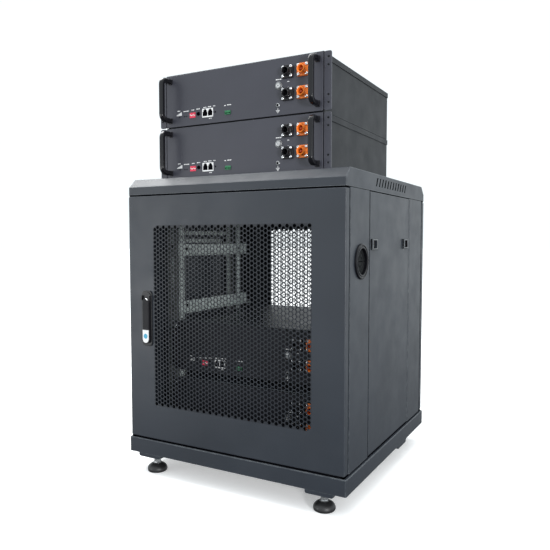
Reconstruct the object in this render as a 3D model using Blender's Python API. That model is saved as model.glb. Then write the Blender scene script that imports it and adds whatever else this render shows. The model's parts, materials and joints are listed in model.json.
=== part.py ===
"""A battery rack: a floor cabinet with two battery modules inside it and two more stacked on its roof.

Metres, +Z up, the front facing -Y. The origin is on the floor, at the middle of the whole object's box.
"""

import math

import bmesh
import bpy
from mathutils import Matrix, Vector

# Clearance between neighbouring pieces.
GAP = 0.0003

# Cabinet, outside sizes.
CENTRE_Y = 0.008
BODY_HALF_WIDTH = 0.2985
BODY_HALF_DEPTH = 0.3015
PLINTH_HALF = 0.303
FLOOR_TO_PLINTH = 0.0514
PLINTH_TOP = 0.0895
SKIRT_BOTTOM = 0.715
ROOF_TOP = 0.756
FRONT = CENTRE_Y - BODY_HALF_DEPTH
REAR = CENTRE_Y + BODY_HALF_DEPTH
SHEET = 0.002

# Plinth blocks that hold the levelling feet, and the feet.
PLINTH_PLATE = 0.003
BLOCK_BOTTOM = 0.0425
BLOCK_INNER_X = 0.204
BLOCK_OUTER_X = 0.273
BLOCK_DEPTH = 0.069
BLOCK_ROUND = 0.004
BLOCK_INSET = 0.0004
SKID_START_Y = 0.064
SKID_END_Y = 0.136
SKID_WIDTH = 0.030
FOOT_X = 0.2385
FOOT_INSET_Y = 0.0315
FOOT_RADIUS = 0.0255
FOOT_DOME_TOP = 0.023
COLLAR_RADIUS = 0.008
STEM_RADIUS = 0.005
STEM_TOP = 0.074

# Roof pan.
ROOF_SLOPE = 0.024
FRONT_SKIRT = 0.019
VENT_COUNT = 12
VENT_FIRST_Y = -0.111
VENT_PITCH = 0.0204
VENT_BOTTOM = 0.7265
VENT_HEIGHT = 0.0205
VENT_WIDTH = 0.0085
VENT_LEAN = 0.0095

# Side frames and their lift-out panels.
SHELL_BOTTOM = 0.0935
SHELL_TOP = 0.7135
STRIP_START_Y = 0.277
STRIP_END_Y = 0.160
STRIP_RETURN = 0.034
SIDE_RAIL_HEIGHT = 0.022
SIDE_RAIL_INSET = 0.0145
PANEL_FRONT_Y = -0.1545
PANEL_REAR_Y = 0.1535
PANEL_RECESS = 0.001
PANEL_RETURN = 0.012
LATCH_Z = 0.591
LATCH_CENTRES_Y = (-0.129, 0.117)
BEZEL_LENGTH = 0.040
BEZEL_HEIGHT = 0.0265
BEZEL_PROUD = 0.004
WINDOW_LENGTH = 0.025
WINDOW_HEIGHT = 0.0195
KNOB_LENGTH = 0.012
BOLT_THICKNESS = 0.002
BOLT_HALF_HEIGHT = 0.012
BOLT_OVERLAP = 0.014

# Cable port in the right-hand strip.
PORT_Y = -0.213
PORT_Z = 0.5535
PORT_OUTER = 0.040
PORT_INNER = 0.029
PORT_NECK = 0.0315
PORT_PROUD = 0.0045
PORT_NECK_DEPTH = 0.010
PORT_ROUND = 0.002

# Doors.
DOOR_BOTTOM = 0.094
DOOR_TOP = 0.713
DOOR_THICKNESS = 0.017
DOOR_HALF_WIDTH = 0.2985
HINGE_X = 0.290
HINGE_INSET = 0.0075

# Swing-handle lock on the front door.
LOCK_X = -0.2392
LOCK_BOTTOM = 0.333
LOCK_TOP = 0.473
LOCK_WIDTH = 0.031
LOCK_PLATE = 0.003
HUB_Z = 0.455
HUB_RADIUS = 0.0148
HUB_PLATE = 0.0015
SHAFT_RADIUS = 0.008
LEVER_WIDTH = 0.021
LEVER_THICKNESS = 0.005
LEVER_BOTTOM = 0.340
CHEEK = 0.0025
CAM_LENGTH = 0.030
CAM_THICKNESS = 0.003
CAM_CLEAR_OF_DOOR = 0.005

# Rack posts and module support rails.
POST_INNER_X = 0.2255
POST_WIDTH = 0.0365
POST_DEPTH = 0.025
FRONT_POST_Y = -0.1925
REAR_POST_Y = 0.118
RAIL_INNER_X = 0.2232
RAIL_HEIGHT = 0.037
RAIL_LEDGE = 0.019
RAIL_REAR_Y = 0.148
SLOT_FIRST_Z = 0.1002
SLOT_PITCH = 0.1537

# Battery modules, measured from the middle of the front panel's bottom edge.
EAR_WIDTH = 0.4826
PANEL_HEIGHT = 0.132
PANEL_THICKNESS = 0.003
CASE_HALF_WIDTH = 0.220
CASE_REAR = 0.449
CASE_WALL = 0.0016
CASE_HEIGHT = 0.1312
MODULE_HEIGHT = 0.133
LID_FLANGE = 0.0135
LID_SHEET = 0.0015
EAR_HOLE_X = 0.2335
EAR_HOLES_Z = (0.018, 0.035, 0.100, 0.1175)
EAR_HOLE_RADIUS = 0.0034
HANDLE_X = 0.208
HANDLE_BOTTOM = 0.017
HANDLE_TOP = 0.116
HANDLE_REACH = 0.042
HANDLE_RADIUS = 0.0055
HANDLE_BEND = 0.012
TERMINALS_X = (0.1322, 0.1717)
TERMINALS_Z = (0.0467, 0.0972)
FLANGE_SIZE = 0.0312
FLANGE_THICKNESS = 0.0045
BARREL_RADIUS = 0.0115
BARREL_LENGTH = 0.017
NECK_RADIUS = 0.009
CARRIER_THICKNESS = 0.003
CARRIER_MARGIN = 0.002
BUTTON_X = 0.1088
BUTTON_Z = 0.0685
BUTTON_RADIUS = 0.0072
BUTTON_PROUD = 0.0045
BUTTON_STEM_END = 0.012
CELLS_HALF_WIDTH = 0.195
CELLS_START = 0.070
CELLS_END = 0.410
CELLS_BOTTOM = 0.003
CELLS_TOP = 0.108

ROOF_MODULE_X = -0.010
ROOF_MODULE_Y = -0.228
RACK_MODULE_Y = -0.196
MODULE_PLACES = {
    1: (ROOF_MODULE_X, CENTRE_Y + ROOF_MODULE_Y, ROOF_TOP + MODULE_HEIGHT + 2 * GAP),
    2: (ROOF_MODULE_X, CENTRE_Y + ROOF_MODULE_Y, ROOF_TOP + GAP),
    3: (0.0, CENTRE_Y + RACK_MODULE_Y, SLOT_FIRST_Z + SLOT_PITCH),
    4: (0.0, CENTRE_Y + RACK_MODULE_Y, SLOT_FIRST_Z),
}

SMOOTH_ANGLE = math.radians(35)


# ---------------------------------------------------------------- materials


def make_material(name, colour, roughness, metallic=0.0):
    material = bpy.data.materials.new(name)
    material.use_nodes = True
    shader = material.node_tree.nodes["Principled BSDF"]
    shader.inputs["Base Color"].default_value = (*colour, 1.0)
    shader.inputs["Roughness"].default_value = roughness
    shader.inputs["Metallic"].default_value = metallic
    return material


def make_materials():
    return {
        "cabinet": make_material("cabinet_paint", (0.062, 0.068, 0.078), 0.48),
        "module": make_material("module_paint", (0.022, 0.023, 0.026), 0.45),
        "galvanised": make_material("galvanised_steel", (0.42, 0.45, 0.44), 0.42, 0.9),
        "plastic": make_material("black_plastic", (0.016, 0.016, 0.018), 0.38),
        "rubber": make_material("foot_rubber", (0.018, 0.018, 0.019), 0.6),
        "bright": make_material("bright_steel", (0.72, 0.73, 0.75), 0.22, 1.0),
        "cells": make_material("cell_aluminium", (0.55, 0.56, 0.58), 0.35, 0.9),
    }


# ---------------------------------------------------------------- shapes


def shape_from(bm):
    """A working shape: an object that a later step joins, cuts or turns into a mesh."""
    bmesh.ops.recalc_face_normals(bm, faces=bm.faces)
    mesh = bpy.data.meshes.new("shape")
    bm.to_mesh(mesh)
    bm.free()
    shape = bpy.data.objects.new("shape", mesh)
    bpy.context.scene.collection.objects.link(shape)
    return shape


def block(low, high):
    """A box between two corners."""
    bm = bmesh.new()
    middle = (Vector(low) + Vector(high)) / 2
    size = Vector(high) - Vector(low)
    bmesh.ops.create_cube(bm, size=1.0, matrix=Matrix.Translation(middle) @ Matrix.Diagonal((*size, 1.0)))
    return shape_from(bm)


def prism(outline, axis, start, end):
    """An outline of coordinate pairs, in X, Y, Z order without the axis, stretched from start to end."""
    bm = bmesh.new()
    place = {
        "x": lambda pair: (start, pair[0], pair[1]),
        "y": lambda pair: (pair[0], start, pair[1]),
        "z": lambda pair: (pair[0], pair[1], start),
    }[axis]
    face = bm.faces.new([bm.verts.new(place(pair)) for pair in outline])
    made = bmesh.ops.extrude_face_region(bm, geom=[face])
    along = Vector({"x": (1, 0, 0), "y": (0, 1, 0), "z": (0, 0, 1)}[axis]) * (end - start)
    bmesh.ops.translate(bm, vec=along, verts=[v for v in made["geom"] if isinstance(v, bmesh.types.BMVert)])
    return shape_from(bm)


def ring_points(radius, centre, sides):
    """The corners of a round hole's outline, as pairs."""
    turns = [2 * math.pi * (step + 0.5) / sides for step in range(sides)]
    return [(centre[0] + radius * math.cos(t), centre[1] + radius * math.sin(t)) for t in turns]


def rounded_rectangle(low, high, radius, steps):
    """The outline of a rectangle with quarter-round corners, as pairs."""
    centres = (
        (high[0] - radius, high[1] - radius, 0.0),
        (low[0] + radius, high[1] - radius, 0.5),
        (low[0] + radius, low[1] + radius, 1.0),
        (high[0] - radius, low[1] + radius, 1.5),
    )
    points = []
    for x, z, first in centres:
        for step in range(steps + 1):
            angle = math.pi * (first + step / steps / 2)
            points.append((x + radius * math.cos(angle), z + radius * math.sin(angle)))
    return points


def punched_plate(outline, holes, start, end):
    """A flat plate in X and Z with holes right through it, from start to end along Y."""
    bm = bmesh.new()
    edges = []
    for loop in (outline, *holes):
        corners = [bm.verts.new((x, start, z)) for x, z in loop]
        edges += [bm.edges.new((a, b)) for a, b in zip(corners, corners[1:] + corners[:1])]
    made = bmesh.ops.triangle_fill(bm, use_beauty=True, use_dissolve=False, edges=edges)
    faces = [f for f in made["geom"] if isinstance(f, bmesh.types.BMFace)]
    made = bmesh.ops.extrude_face_region(bm, geom=faces)
    moved = [v for v in made["geom"] if isinstance(v, bmesh.types.BMVert)]
    bmesh.ops.translate(bm, vec=(0, end - start, 0), verts=moved)
    return shape_from(bm)


def turned(profile, centre, axis, sides):
    """A profile of (radius, height) pairs turned about an axis; both ends of the profile are on the axis."""
    bm = bmesh.new()
    tilt = {
        "x": Matrix.Rotation(math.pi / 2, 4, "Y"),
        "y": Matrix.Rotation(-math.pi / 2, 4, "X"),
        "z": Matrix(),
    }
    rings = []
    for radius, height in profile:
        if radius == 0:
            rings.append([bm.verts.new((0, 0, height))])
            continue
        turns = [2 * math.pi * (step + 0.5) / sides for step in range(sides)]
        rings.append([bm.verts.new((radius * math.cos(t), radius * math.sin(t), height)) for t in turns])
    for lower, upper in zip(rings, rings[1:]):
        for step in range(sides):
            after = (step + 1) % sides
            corners = [lower[step % len(lower)], lower[after % len(lower)]]
            corners += [upper[after % len(upper)], upper[step % len(upper)]]
            bm.faces.new(list(dict.fromkeys(corners)))
    bmesh.ops.transform(bm, matrix=Matrix.Translation(centre) @ tilt[axis], verts=bm.verts)
    return shape_from(bm)


def rod(radius, start, end, centre, axis, sides=16):
    """A plain cylinder from start to end along an axis, measured from the centre."""
    return turned([(0, start), (radius, start), (radius, end), (0, end)], centre, axis, sides)


def tube_along(points, radius):
    """A round bar that follows a smooth line of points, with closed ends."""
    curve = bpy.data.curves.new("bar", "CURVE")
    curve.dimensions = "3D"
    curve.bevel_depth = radius
    curve.bevel_resolution = 2
    curve.use_fill_caps = True
    spline = curve.splines.new("POLY")
    spline.points.add(len(points) - 1)
    for item, point in zip(spline.points, points):
        item.co = (*point, 1.0)
    bar = bpy.data.objects.new("bar", curve)
    bpy.context.scene.collection.objects.link(bar)
    bar = finished(bar)
    bm = bmesh.new()
    bm.from_mesh(bar.data)
    bmesh.ops.remove_doubles(bm, verts=bm.verts, dist=0.00001)
    bm.to_mesh(bar.data)
    bm.free()
    return bar


def finished(shape):
    """The shape with its modifiers worked into a plain mesh object."""
    graph = bpy.context.evaluated_depsgraph_get()
    mesh = bpy.data.meshes.new_from_object(shape.evaluated_get(graph))
    bpy.data.objects.remove(shape)
    result = bpy.data.objects.new("shape", mesh)
    bpy.context.scene.collection.objects.link(result)
    return result


def boolean(shape, tools, operation):
    for tool in tools:
        modifier = shape.modifiers.new("boolean", "BOOLEAN")
        modifier.operation = operation
        modifier.solver = "EXACT"
        modifier.object = tool
    result = finished(shape)
    for tool in tools:
        bpy.data.objects.remove(tool)
    return result


def joined(shape, *tools):
    return boolean(shape, tools, "UNION")


def cut(shape, *tools):
    return boolean(shape, tools, "DIFFERENCE")


def softened(shape, width, steps=2, wanted=None):
    """The shape with its outward edges rounded: all the sharp ones, or those that wanted() picks."""
    bm = bmesh.new()
    bm.from_mesh(shape.data)
    bmesh.ops.dissolve_limit(bm, angle_limit=math.radians(1), verts=bm.verts, edges=bm.edges)
    sharp = [e for e in bm.edges if e.is_convex and e.calc_face_angle(0) > math.radians(40)]
    edges = [e for e in sharp if wanted is None or wanted(e)]
    bmesh.ops.bevel(
        bm, geom=edges, offset=width, segments=steps, profile=0.5, affect="EDGES", clamp_overlap=True
    )
    bm.to_mesh(shape.data)
    bm.free()
    return shape


def runs_along(axis):
    """Picks the edges that run along one axis."""
    index = "xyz".index(axis)

    def wanted(edge):
        line = edge.verts[1].co - edge.verts[0].co
        return abs(line[index]) > 0.99 * line.length

    return wanted


def mirrored(shape, axis):
    """The shape's mirror image across the plane through the origin."""
    scale = Vector((1, 1, 1))
    scale["xyz".index(axis)] = -1
    shape.data.transform(Matrix.Diagonal((*scale, 1.0)))
    shape.data.flip_normals()
    return shape


def take_mesh(shape, name):
    """The shape's mesh, smooth where it's round, with the working object removed."""
    mesh = shape.data
    mesh.name = name
    mesh.shade_smooth()
    mesh.set_sharp_from_angle(angle=SMOOTH_ANGLE)
    bpy.data.objects.remove(shape)
    return mesh


def place(name, mesh, material, location=(0, 0, 0), parent=None):
    """Adds one sub-part. The mesh is measured from the location, and the location is in world terms."""
    if not mesh.materials:
        mesh.materials.append(material)
    obj = bpy.data.objects.new(name, mesh)
    bpy.context.scene.collection.objects.link(obj)
    obj.location = location
    if parent is not None:
        obj.parent = parent
        obj.location = Vector(location) - parent.matrix_world.translation
    bpy.context.view_layer.update()
    return obj


def place_world(name, shape, material, pivot=(0, 0, 0), parent=None):
    """Adds a sub-part whose shape was drawn in world terms, with its origin at the pivot."""
    shape.data.transform(Matrix.Translation(-Vector(pivot)))
    return place(name, take_mesh(shape, name), material, pivot, parent)


# ---------------------------------------------------------------- plinth and feet


def foot_places():
    """(name ending, x, y) of each levelling foot."""
    reach = PLINTH_HALF - FOOT_INSET_Y
    return [
        (f"{end}_{side}", x, CENTRE_Y + y)
        for end, y in (("front", -reach), ("rear", reach))
        for side, x in (("left", -FOOT_X), ("right", FOOT_X))
    ]


def make_plinth(materials):
    """A pan open below, with a block under each corner and a skid under each side."""
    inside = PLINTH_HALF - PLINTH_PLATE
    pan = block(
        (-PLINTH_HALF, CENTRE_Y - PLINTH_HALF, FLOOR_TO_PLINTH),
        (PLINTH_HALF, CENTRE_Y + PLINTH_HALF, PLINTH_TOP),
    )
    pan = softened(pan, 0.003, 2, runs_along("z"))
    pan = softened(pan, 0.0015, 1, lambda e: all(v.co.z > PLINTH_TOP - 0.0001 for v in e.verts))
    hollow = block(
        (-inside, CENTRE_Y - inside, FLOOR_TO_PLINTH - 0.01),
        (inside, CENTRE_Y + inside, PLINTH_TOP - PLINTH_PLATE),
    )
    pan = cut(pan, hollow)
    under_plate = PLINTH_TOP - PLINTH_PLATE + 0.001
    rim = PLINTH_HALF - BLOCK_INSET
    blocks = []
    for side in (-1, 1):
        for end in (-1, 1):
            x = sorted((side * BLOCK_INNER_X, side * BLOCK_OUTER_X))
            outer = end * rim
            y = sorted((outer, outer - end * BLOCK_DEPTH))
            corner = block((x[0], CENTRE_Y + y[0], BLOCK_BOTTOM), (x[1], CENTRE_Y + y[1], under_plate))
            blocks.append(softened(corner, BLOCK_ROUND, 2, runs_along("y")))
        x = sorted((side * rim, side * (PLINTH_HALF - SKID_WIDTH)))
        skid = block(
            (x[0], CENTRE_Y + SKID_START_Y, BLOCK_BOTTOM), (x[1], CENTRE_Y + SKID_END_Y, under_plate)
        )
        blocks.append(softened(skid, BLOCK_ROUND, 2, runs_along("x")))
    pan = joined(pan, *blocks)
    bores = [
        rod(STEM_RADIUS + GAP, BLOCK_BOTTOM - 0.01, STEM_TOP + 0.002, (x, y, 0), "z")
        for _, x, y in foot_places()
    ]
    place_world("base_frame", cut(pan, *bores), materials["cabinet"])


def make_feet(materials):
    """Rubber dome, steel collar and screw stem, turned in one profile."""
    profile = [(0, 0), (0.021, 0), (0.0248, 0.003), (FOOT_RADIUS, 0.007), (0.0245, 0.012)]
    profile += [(0.0205, 0.0175), (0.0145, 0.0215), (COLLAR_RADIUS, FOOT_DOME_TOP)]
    profile += [(COLLAR_RADIUS, BLOCK_BOTTOM - GAP), (STEM_RADIUS, BLOCK_BOTTOM - GAP)]
    profile += [(STEM_RADIUS, STEM_TOP), (0, STEM_TOP)]
    mesh = take_mesh(turned(profile, (0, 0, 0), "z", 20), "foot")
    for name, x, y in foot_places():
        place(f"foot_{name}", mesh, materials["rubber"], (x, y, 0))


# ---------------------------------------------------------------- roof


def roof_outline(half_depth, top, bottom, slope_start):
    """The roof's cross-section in Y and Z, open to nothing: a block with its two upper edges sloped."""
    return [
        (CENTRE_Y - half_depth, bottom),
        (CENTRE_Y + half_depth, bottom),
        (CENTRE_Y + half_depth, slope_start),
        (CENTRE_Y + half_depth - ROOF_SLOPE, top),
        (CENTRE_Y - half_depth + ROOF_SLOPE, top),
        (CENTRE_Y - half_depth, slope_start),
    ]


def make_roof(materials):
    half_depth = BODY_HALF_DEPTH - 0.001
    slope_start = SKIRT_BOTTOM + FRONT_SKIRT
    shell = prism(
        roof_outline(half_depth, ROOF_TOP, SKIRT_BOTTOM, slope_start), "x", -BODY_HALF_WIDTH, BODY_HALF_WIDTH
    )
    shell = softened(shell, 0.002, 2, lambda e: any(v.co.z > SKIRT_BOTTOM + 0.001 for v in e.verts))
    hollow = prism(
        roof_outline(half_depth - SHEET, ROOF_TOP - SHEET, SKIRT_BOTTOM - 0.01, slope_start),
        "x",
        SHEET - BODY_HALF_WIDTH,
        BODY_HALF_WIDTH - SHEET,
    )
    shell = cut(shell, hollow)
    slots = []
    for number in range(VENT_COUNT):
        y = CENTRE_Y + VENT_FIRST_Y + number * VENT_PITCH
        outline = [
            (y - VENT_LEAN / 2 - VENT_WIDTH / 2, VENT_BOTTOM),
            (y - VENT_LEAN / 2 + VENT_WIDTH / 2, VENT_BOTTOM),
            (y + VENT_LEAN / 2 + VENT_WIDTH / 2, VENT_BOTTOM + VENT_HEIGHT),
            (y + VENT_LEAN / 2 - VENT_WIDTH / 2, VENT_BOTTOM + VENT_HEIGHT),
        ]
        slots.append(prism(outline, "x", -BODY_HALF_WIDTH - 0.01, BODY_HALF_WIDTH + 0.01))
    place_world("top_cover", cut(shell, *slots), materials["cabinet"])


# ---------------------------------------------------------------- sides


def make_upright(end, side):
    """A tall strip of the shell, turned in at both edges. end is -1 at the front and 1 at the rear."""
    outer = side * BODY_HALF_WIDTH
    inner = side * (BODY_HALF_WIDTH - STRIP_RETURN)
    wall = side * (BODY_HALF_WIDTH - SHEET)
    step = end * SHEET
    outline = [
        (inner, end * STRIP_START_Y),
        (outer, end * STRIP_START_Y),
        (outer, end * STRIP_END_Y),
        (inner, end * STRIP_END_Y),
        (inner, end * STRIP_END_Y + step),
        (wall, end * STRIP_END_Y + step),
        (wall, end * STRIP_START_Y - step),
        (inner, end * STRIP_START_Y - step),
    ]
    upright = prism([(x, CENTRE_Y + y) for x, y in outline], "z", SHELL_BOTTOM, SHELL_TOP)

    def outer_corner(edge):
        return all(abs(v.co.x) > BODY_HALF_WIDTH - 0.0001 for v in edge.verts) and runs_along("z")(edge)

    return softened(upright, 0.0015, 2, outer_corner)


def make_side_frame(name, side, materials):
    """Two uprights and the rails that join them behind the lift-out panel."""
    frame = make_upright(-1, side)
    x = sorted((side * (BODY_HALF_WIDTH - STRIP_RETURN), side * (BODY_HALF_WIDTH - SIDE_RAIL_INSET)))
    reach = STRIP_END_Y + SHEET / 2
    rails = [
        block((x[0], CENTRE_Y - reach, z), (x[1], CENTRE_Y + reach, z + SIDE_RAIL_HEIGHT))
        for z in (SHELL_BOTTOM, SHELL_TOP - SIDE_RAIL_HEIGHT)
    ]
    frame = joined(frame, make_upright(1, side), *rails)
    if side > 0:
        hole = rod(PORT_NECK + GAP, 0, 0.06, (BODY_HALF_WIDTH - 0.02, CENTRE_Y + PORT_Y, PORT_Z), "x", 24)
        frame = cut(frame, hole)
    place_world(name, frame, materials["cabinet"])


def make_side_panel(name, side, materials):
    """A pan with two raised latch bezels, each with a window for its slider."""
    face = BODY_HALF_WIDTH - PANEL_RECESS
    back = face - PANEL_RETURN
    low_y = CENTRE_Y + PANEL_FRONT_Y
    high_y = CENTRE_Y + PANEL_REAR_Y
    pan = block((back, low_y, SHELL_BOTTOM), (face, high_y, SHELL_TOP))
    pan = softened(pan, 0.002, 2, lambda e: all(v.co.x > face - 0.0001 for v in e.verts))
    hollow = block(
        (back - 0.01, low_y + SHEET, SHELL_BOTTOM + SHEET), (face - SHEET, high_y - SHEET, SHELL_TOP - SHEET)
    )
    pan = cut(pan, hollow)
    bezels = []
    windows = []
    for y in LATCH_CENTRES_Y:
        middle = CENTRE_Y + y
        bezel = block(
            (face - SHEET / 2, middle - BEZEL_LENGTH / 2, LATCH_Z - BEZEL_HEIGHT / 2),
            (BODY_HALF_WIDTH + BEZEL_PROUD, middle + BEZEL_LENGTH / 2, LATCH_Z + BEZEL_HEIGHT / 2),
        )
        outer = BODY_HALF_WIDTH + BEZEL_PROUD - 0.0001
        bezels.append(softened(bezel, 0.0015, 2, lambda e: all(v.co.x > outer for v in e.verts)))
        windows.append(
            block(
                (face - 0.01, middle - WINDOW_LENGTH / 2, LATCH_Z - WINDOW_HEIGHT / 2),
                (face + 0.01, middle + WINDOW_LENGTH / 2, LATCH_Z + WINDOW_HEIGHT / 2),
            )
        )
    pan = cut(joined(pan, *bezels), *windows)
    if side < 0:
        pan = mirrored(pan, "x")
    return place_world(name, pan, materials["cabinet"])


def make_latch(name, number, side, panel, materials):
    """A slider: a knob in the bezel's window on a bolt plate behind the panel's sheet."""
    y = CENTRE_Y + LATCH_CENTRES_Y[number]
    away = -1 if number == 0 else 1
    knob_y = y + away * (WINDOW_LENGTH - KNOB_LENGTH - 0.001) / 2
    face = BODY_HALF_WIDTH - PANEL_RECESS
    plate_out = face - SHEET - GAP
    plate_in = plate_out - BOLT_THICKNESS
    half_height = WINDOW_HEIGHT / 2 - 0.0008
    knob = block(
        (plate_out - 0.001, knob_y - KNOB_LENGTH / 2, LATCH_Z - half_height),
        (BODY_HALF_WIDTH + BEZEL_PROUD - 0.001, knob_y + KNOB_LENGTH / 2, LATCH_Z + half_height),
    )
    knob = softened(knob, 0.001, 1, lambda e: all(v.co.x > BODY_HALF_WIDTH for v in e.verts))
    edge = PANEL_FRONT_Y if number == 0 else PANEL_REAR_Y
    bolt_end = CENTRE_Y + edge - away * (SHEET + 0.001)
    bolt_start = knob_y - away * BOLT_OVERLAP
    bolt = block(
        (plate_in, min(bolt_end, bolt_start), LATCH_Z - BOLT_HALF_HEIGHT),
        (plate_out, max(bolt_end, bolt_start), LATCH_Z + BOLT_HALF_HEIGHT),
    )
    slider = joined(knob, bolt)
    if side < 0:
        slider = mirrored(slider, "x")
    place_world(name, slider, materials["plastic"], (side * face, knob_y, LATCH_Z), panel)


def make_sides(materials):
    for side_name, side in (("left", -1), ("right", 1)):
        make_side_frame(f"side_frame_{side_name}", side, materials)
        panel = make_side_panel(f"side_panel_{side_name}", side, materials)
        for number, end in enumerate(("front", "rear")):
            make_latch(f"side_latch_{side_name}_{end}", number, side, panel, materials)


def make_cable_port(materials):
    """A flanged ring through the right-hand strip."""
    centre = (BODY_HALF_WIDTH, CENTRE_Y + PORT_Y, PORT_Z)
    profile = [
        (0, -PORT_NECK_DEPTH),
        (PORT_NECK, -PORT_NECK_DEPTH),
        (PORT_NECK, GAP),
        (PORT_OUTER, GAP),
        (PORT_OUTER, PORT_PROUD - PORT_ROUND),
        (PORT_OUTER - PORT_ROUND, PORT_PROUD),
        (0, PORT_PROUD),
    ]
    bore = rod(PORT_INNER, -0.02, 0.02, centre, "x", 24)
    place_world("cable_port", cut(turned(profile, centre, "x", 24), bore), materials["plastic"])


# ---------------------------------------------------------------- rack inside


def make_posts(materials):
    """Channels with their open side towards the middle of the cabinet's depth."""
    for side_name, side in (("left", -1), ("right", 1)):
        for end_name, face_y, inward in (("front", FRONT_POST_Y, 1), ("rear", REAR_POST_Y, -1)):
            inner = side * POST_INNER_X
            outer = side * (POST_INNER_X + POST_WIDTH)
            step = side * SHEET
            face = CENTRE_Y + face_y
            web = face + inward * SHEET
            edge = face + inward * POST_DEPTH
            outline = [
                (inner, face),
                (outer, face),
                (outer, edge),
                (outer - step, edge),
                (outer - step, web),
                (inner + step, web),
                (inner + step, edge),
                (inner, edge),
            ]
            post = softened(prism(outline, "z", PLINTH_TOP + GAP, SHELL_TOP), 0.0006, 1, runs_along("z"))
            place_world(f"rack_post_{end_name}_{side_name}", post, materials["galvanised"])


def make_rails(materials):
    """Angle rails that carry a module in each of the two empty places."""
    for slot, slot_name in ((2, "lower"), (3, "upper")):
        ledge_top = SLOT_FIRST_Z + slot * SLOT_PITCH - GAP
        low = ledge_top - SHEET
        for side_name, side in (("left", -1), ("right", 1)):
            wall = side * RAIL_INNER_X
            outline = [
                (wall - side * RAIL_LEDGE, low),
                (wall + side * SHEET, low),
                (wall + side * SHEET, low + RAIL_HEIGHT),
                (wall, low + RAIL_HEIGHT),
                (wall, ledge_top),
                (wall - side * RAIL_LEDGE, ledge_top),
            ]
            rail = prism(outline, "y", CENTRE_Y + FRONT_POST_Y, CENTRE_Y + RAIL_REAR_Y)
            place_world(f"support_rail_{slot_name}_{side_name}", rail, materials["galvanised"])


# ---------------------------------------------------------------- doors and lock


def make_door_pan(front_y, inward):
    """A sheet with turned-back edges. inward is 1 when the edges run towards +Y."""
    back_y = front_y + inward * DOOR_THICKNESS
    y = sorted((front_y, back_y))
    pan = block((-DOOR_HALF_WIDTH, y[0], DOOR_BOTTOM), (DOOR_HALF_WIDTH, y[1], DOOR_TOP))
    pan = softened(pan, 0.003, 3, lambda e: all(abs(v.co.y - front_y) < 0.0001 for v in e.verts))
    hollow_y = sorted((front_y + inward * SHEET, back_y + inward * 0.01))
    hollow = block(
        (SHEET - DOOR_HALF_WIDTH, hollow_y[0], DOOR_BOTTOM + SHEET),
        (DOOR_HALF_WIDTH - SHEET, hollow_y[1], DOOR_TOP - SHEET),
    )
    return cut(pan, hollow)


def make_doors(materials):
    shaft_hole = rod(SHAFT_RADIUS + 0.001, -0.02, 0.02, (LOCK_X, FRONT, HUB_Z), "y")
    front = cut(make_door_pan(FRONT, 1), shaft_hole)
    front_door = place_world("front_door", front, materials["cabinet"], (HINGE_X, FRONT + HINGE_INSET, 0))
    rear = make_door_pan(REAR, -1)
    place_world("rear_door", rear, materials["cabinet"], (-HINGE_X, REAR - HINGE_INSET, 0))
    return front_door


def make_lock(door, materials):
    """Escutcheon plate, turning hub with its cam, and the lever that swings out between the hub's cheeks."""
    plate_front = FRONT - GAP - LOCK_PLATE
    half = LOCK_WIDTH / 2
    plate = block((LOCK_X - half, plate_front, LOCK_BOTTOM), (LOCK_X + half, FRONT - GAP, LOCK_TOP))
    plate = softened(plate, 0.008, 3, runs_along("y"))
    plate = softened(plate, 0.0012, 1, lambda e: all(v.co.y < plate_front + 0.0001 for v in e.verts))
    plate = cut(plate, rod(SHAFT_RADIUS + GAP, -0.02, 0.02, (LOCK_X, FRONT, HUB_Z), "y"))
    place_world("lock_housing", plate, materials["plastic"], (LOCK_X, FRONT, HUB_Z), door)

    hub_back = plate_front - GAP
    hub_front = hub_back - HUB_PLATE
    lever_back = hub_front - GAP
    lever_front = lever_back - LEVER_THICKNESS
    pivot_y = (lever_back + lever_front) / 2
    cam_back = FRONT + DOOR_THICKNESS + CAM_CLEAR_OF_DOOR
    half_lever = LEVER_WIDTH / 2
    hub = rod(HUB_RADIUS, hub_front, hub_back, (LOCK_X, 0, HUB_Z), "y", 24)
    shaft = rod(SHAFT_RADIUS, hub_front + 0.001, cam_back, (LOCK_X, 0, HUB_Z), "y")
    cam = block(
        (LOCK_X - CAM_LENGTH, cam_back - CAM_THICKNESS, HUB_Z - SHAFT_RADIUS),
        (LOCK_X + SHAFT_RADIUS, cam_back, HUB_Z + SHAFT_RADIUS),
    )
    cheeks = []
    for side in (-1, 1):
        near = LOCK_X + side * (half_lever + GAP)
        x = sorted((near, near + side * CHEEK))
        cheeks.append(
            block((x[0], lever_front + GAP, HUB_Z - 0.006), (x[1], hub_front + 0.001, HUB_Z + 0.006))
        )
    hub = joined(hub, shaft, cam, *cheeks)
    turning = place_world("lock_cam", hub, materials["plastic"], (LOCK_X, hub_front, HUB_Z), door)

    radius = LEVER_THICKNESS / 2
    arc = [math.pi * step / 8 for step in range(9)]
    outline = [(pivot_y + radius * math.cos(a), HUB_Z + radius * math.sin(a)) for a in arc]
    outline += [(lever_front, LEVER_BOTTOM + 0.004), (lever_front + 0.003, LEVER_BOTTOM)]
    outline += [(lever_back, LEVER_BOTTOM)]
    lever = prism(outline, "x", LOCK_X - half_lever, LOCK_X + half_lever)
    lever = softened(lever, 0.0012, 1)
    place_world("lock_lever", lever, materials["plastic"], (LOCK_X, pivot_y, HUB_Z), turning)


# ---------------------------------------------------------------- battery modules


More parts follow.
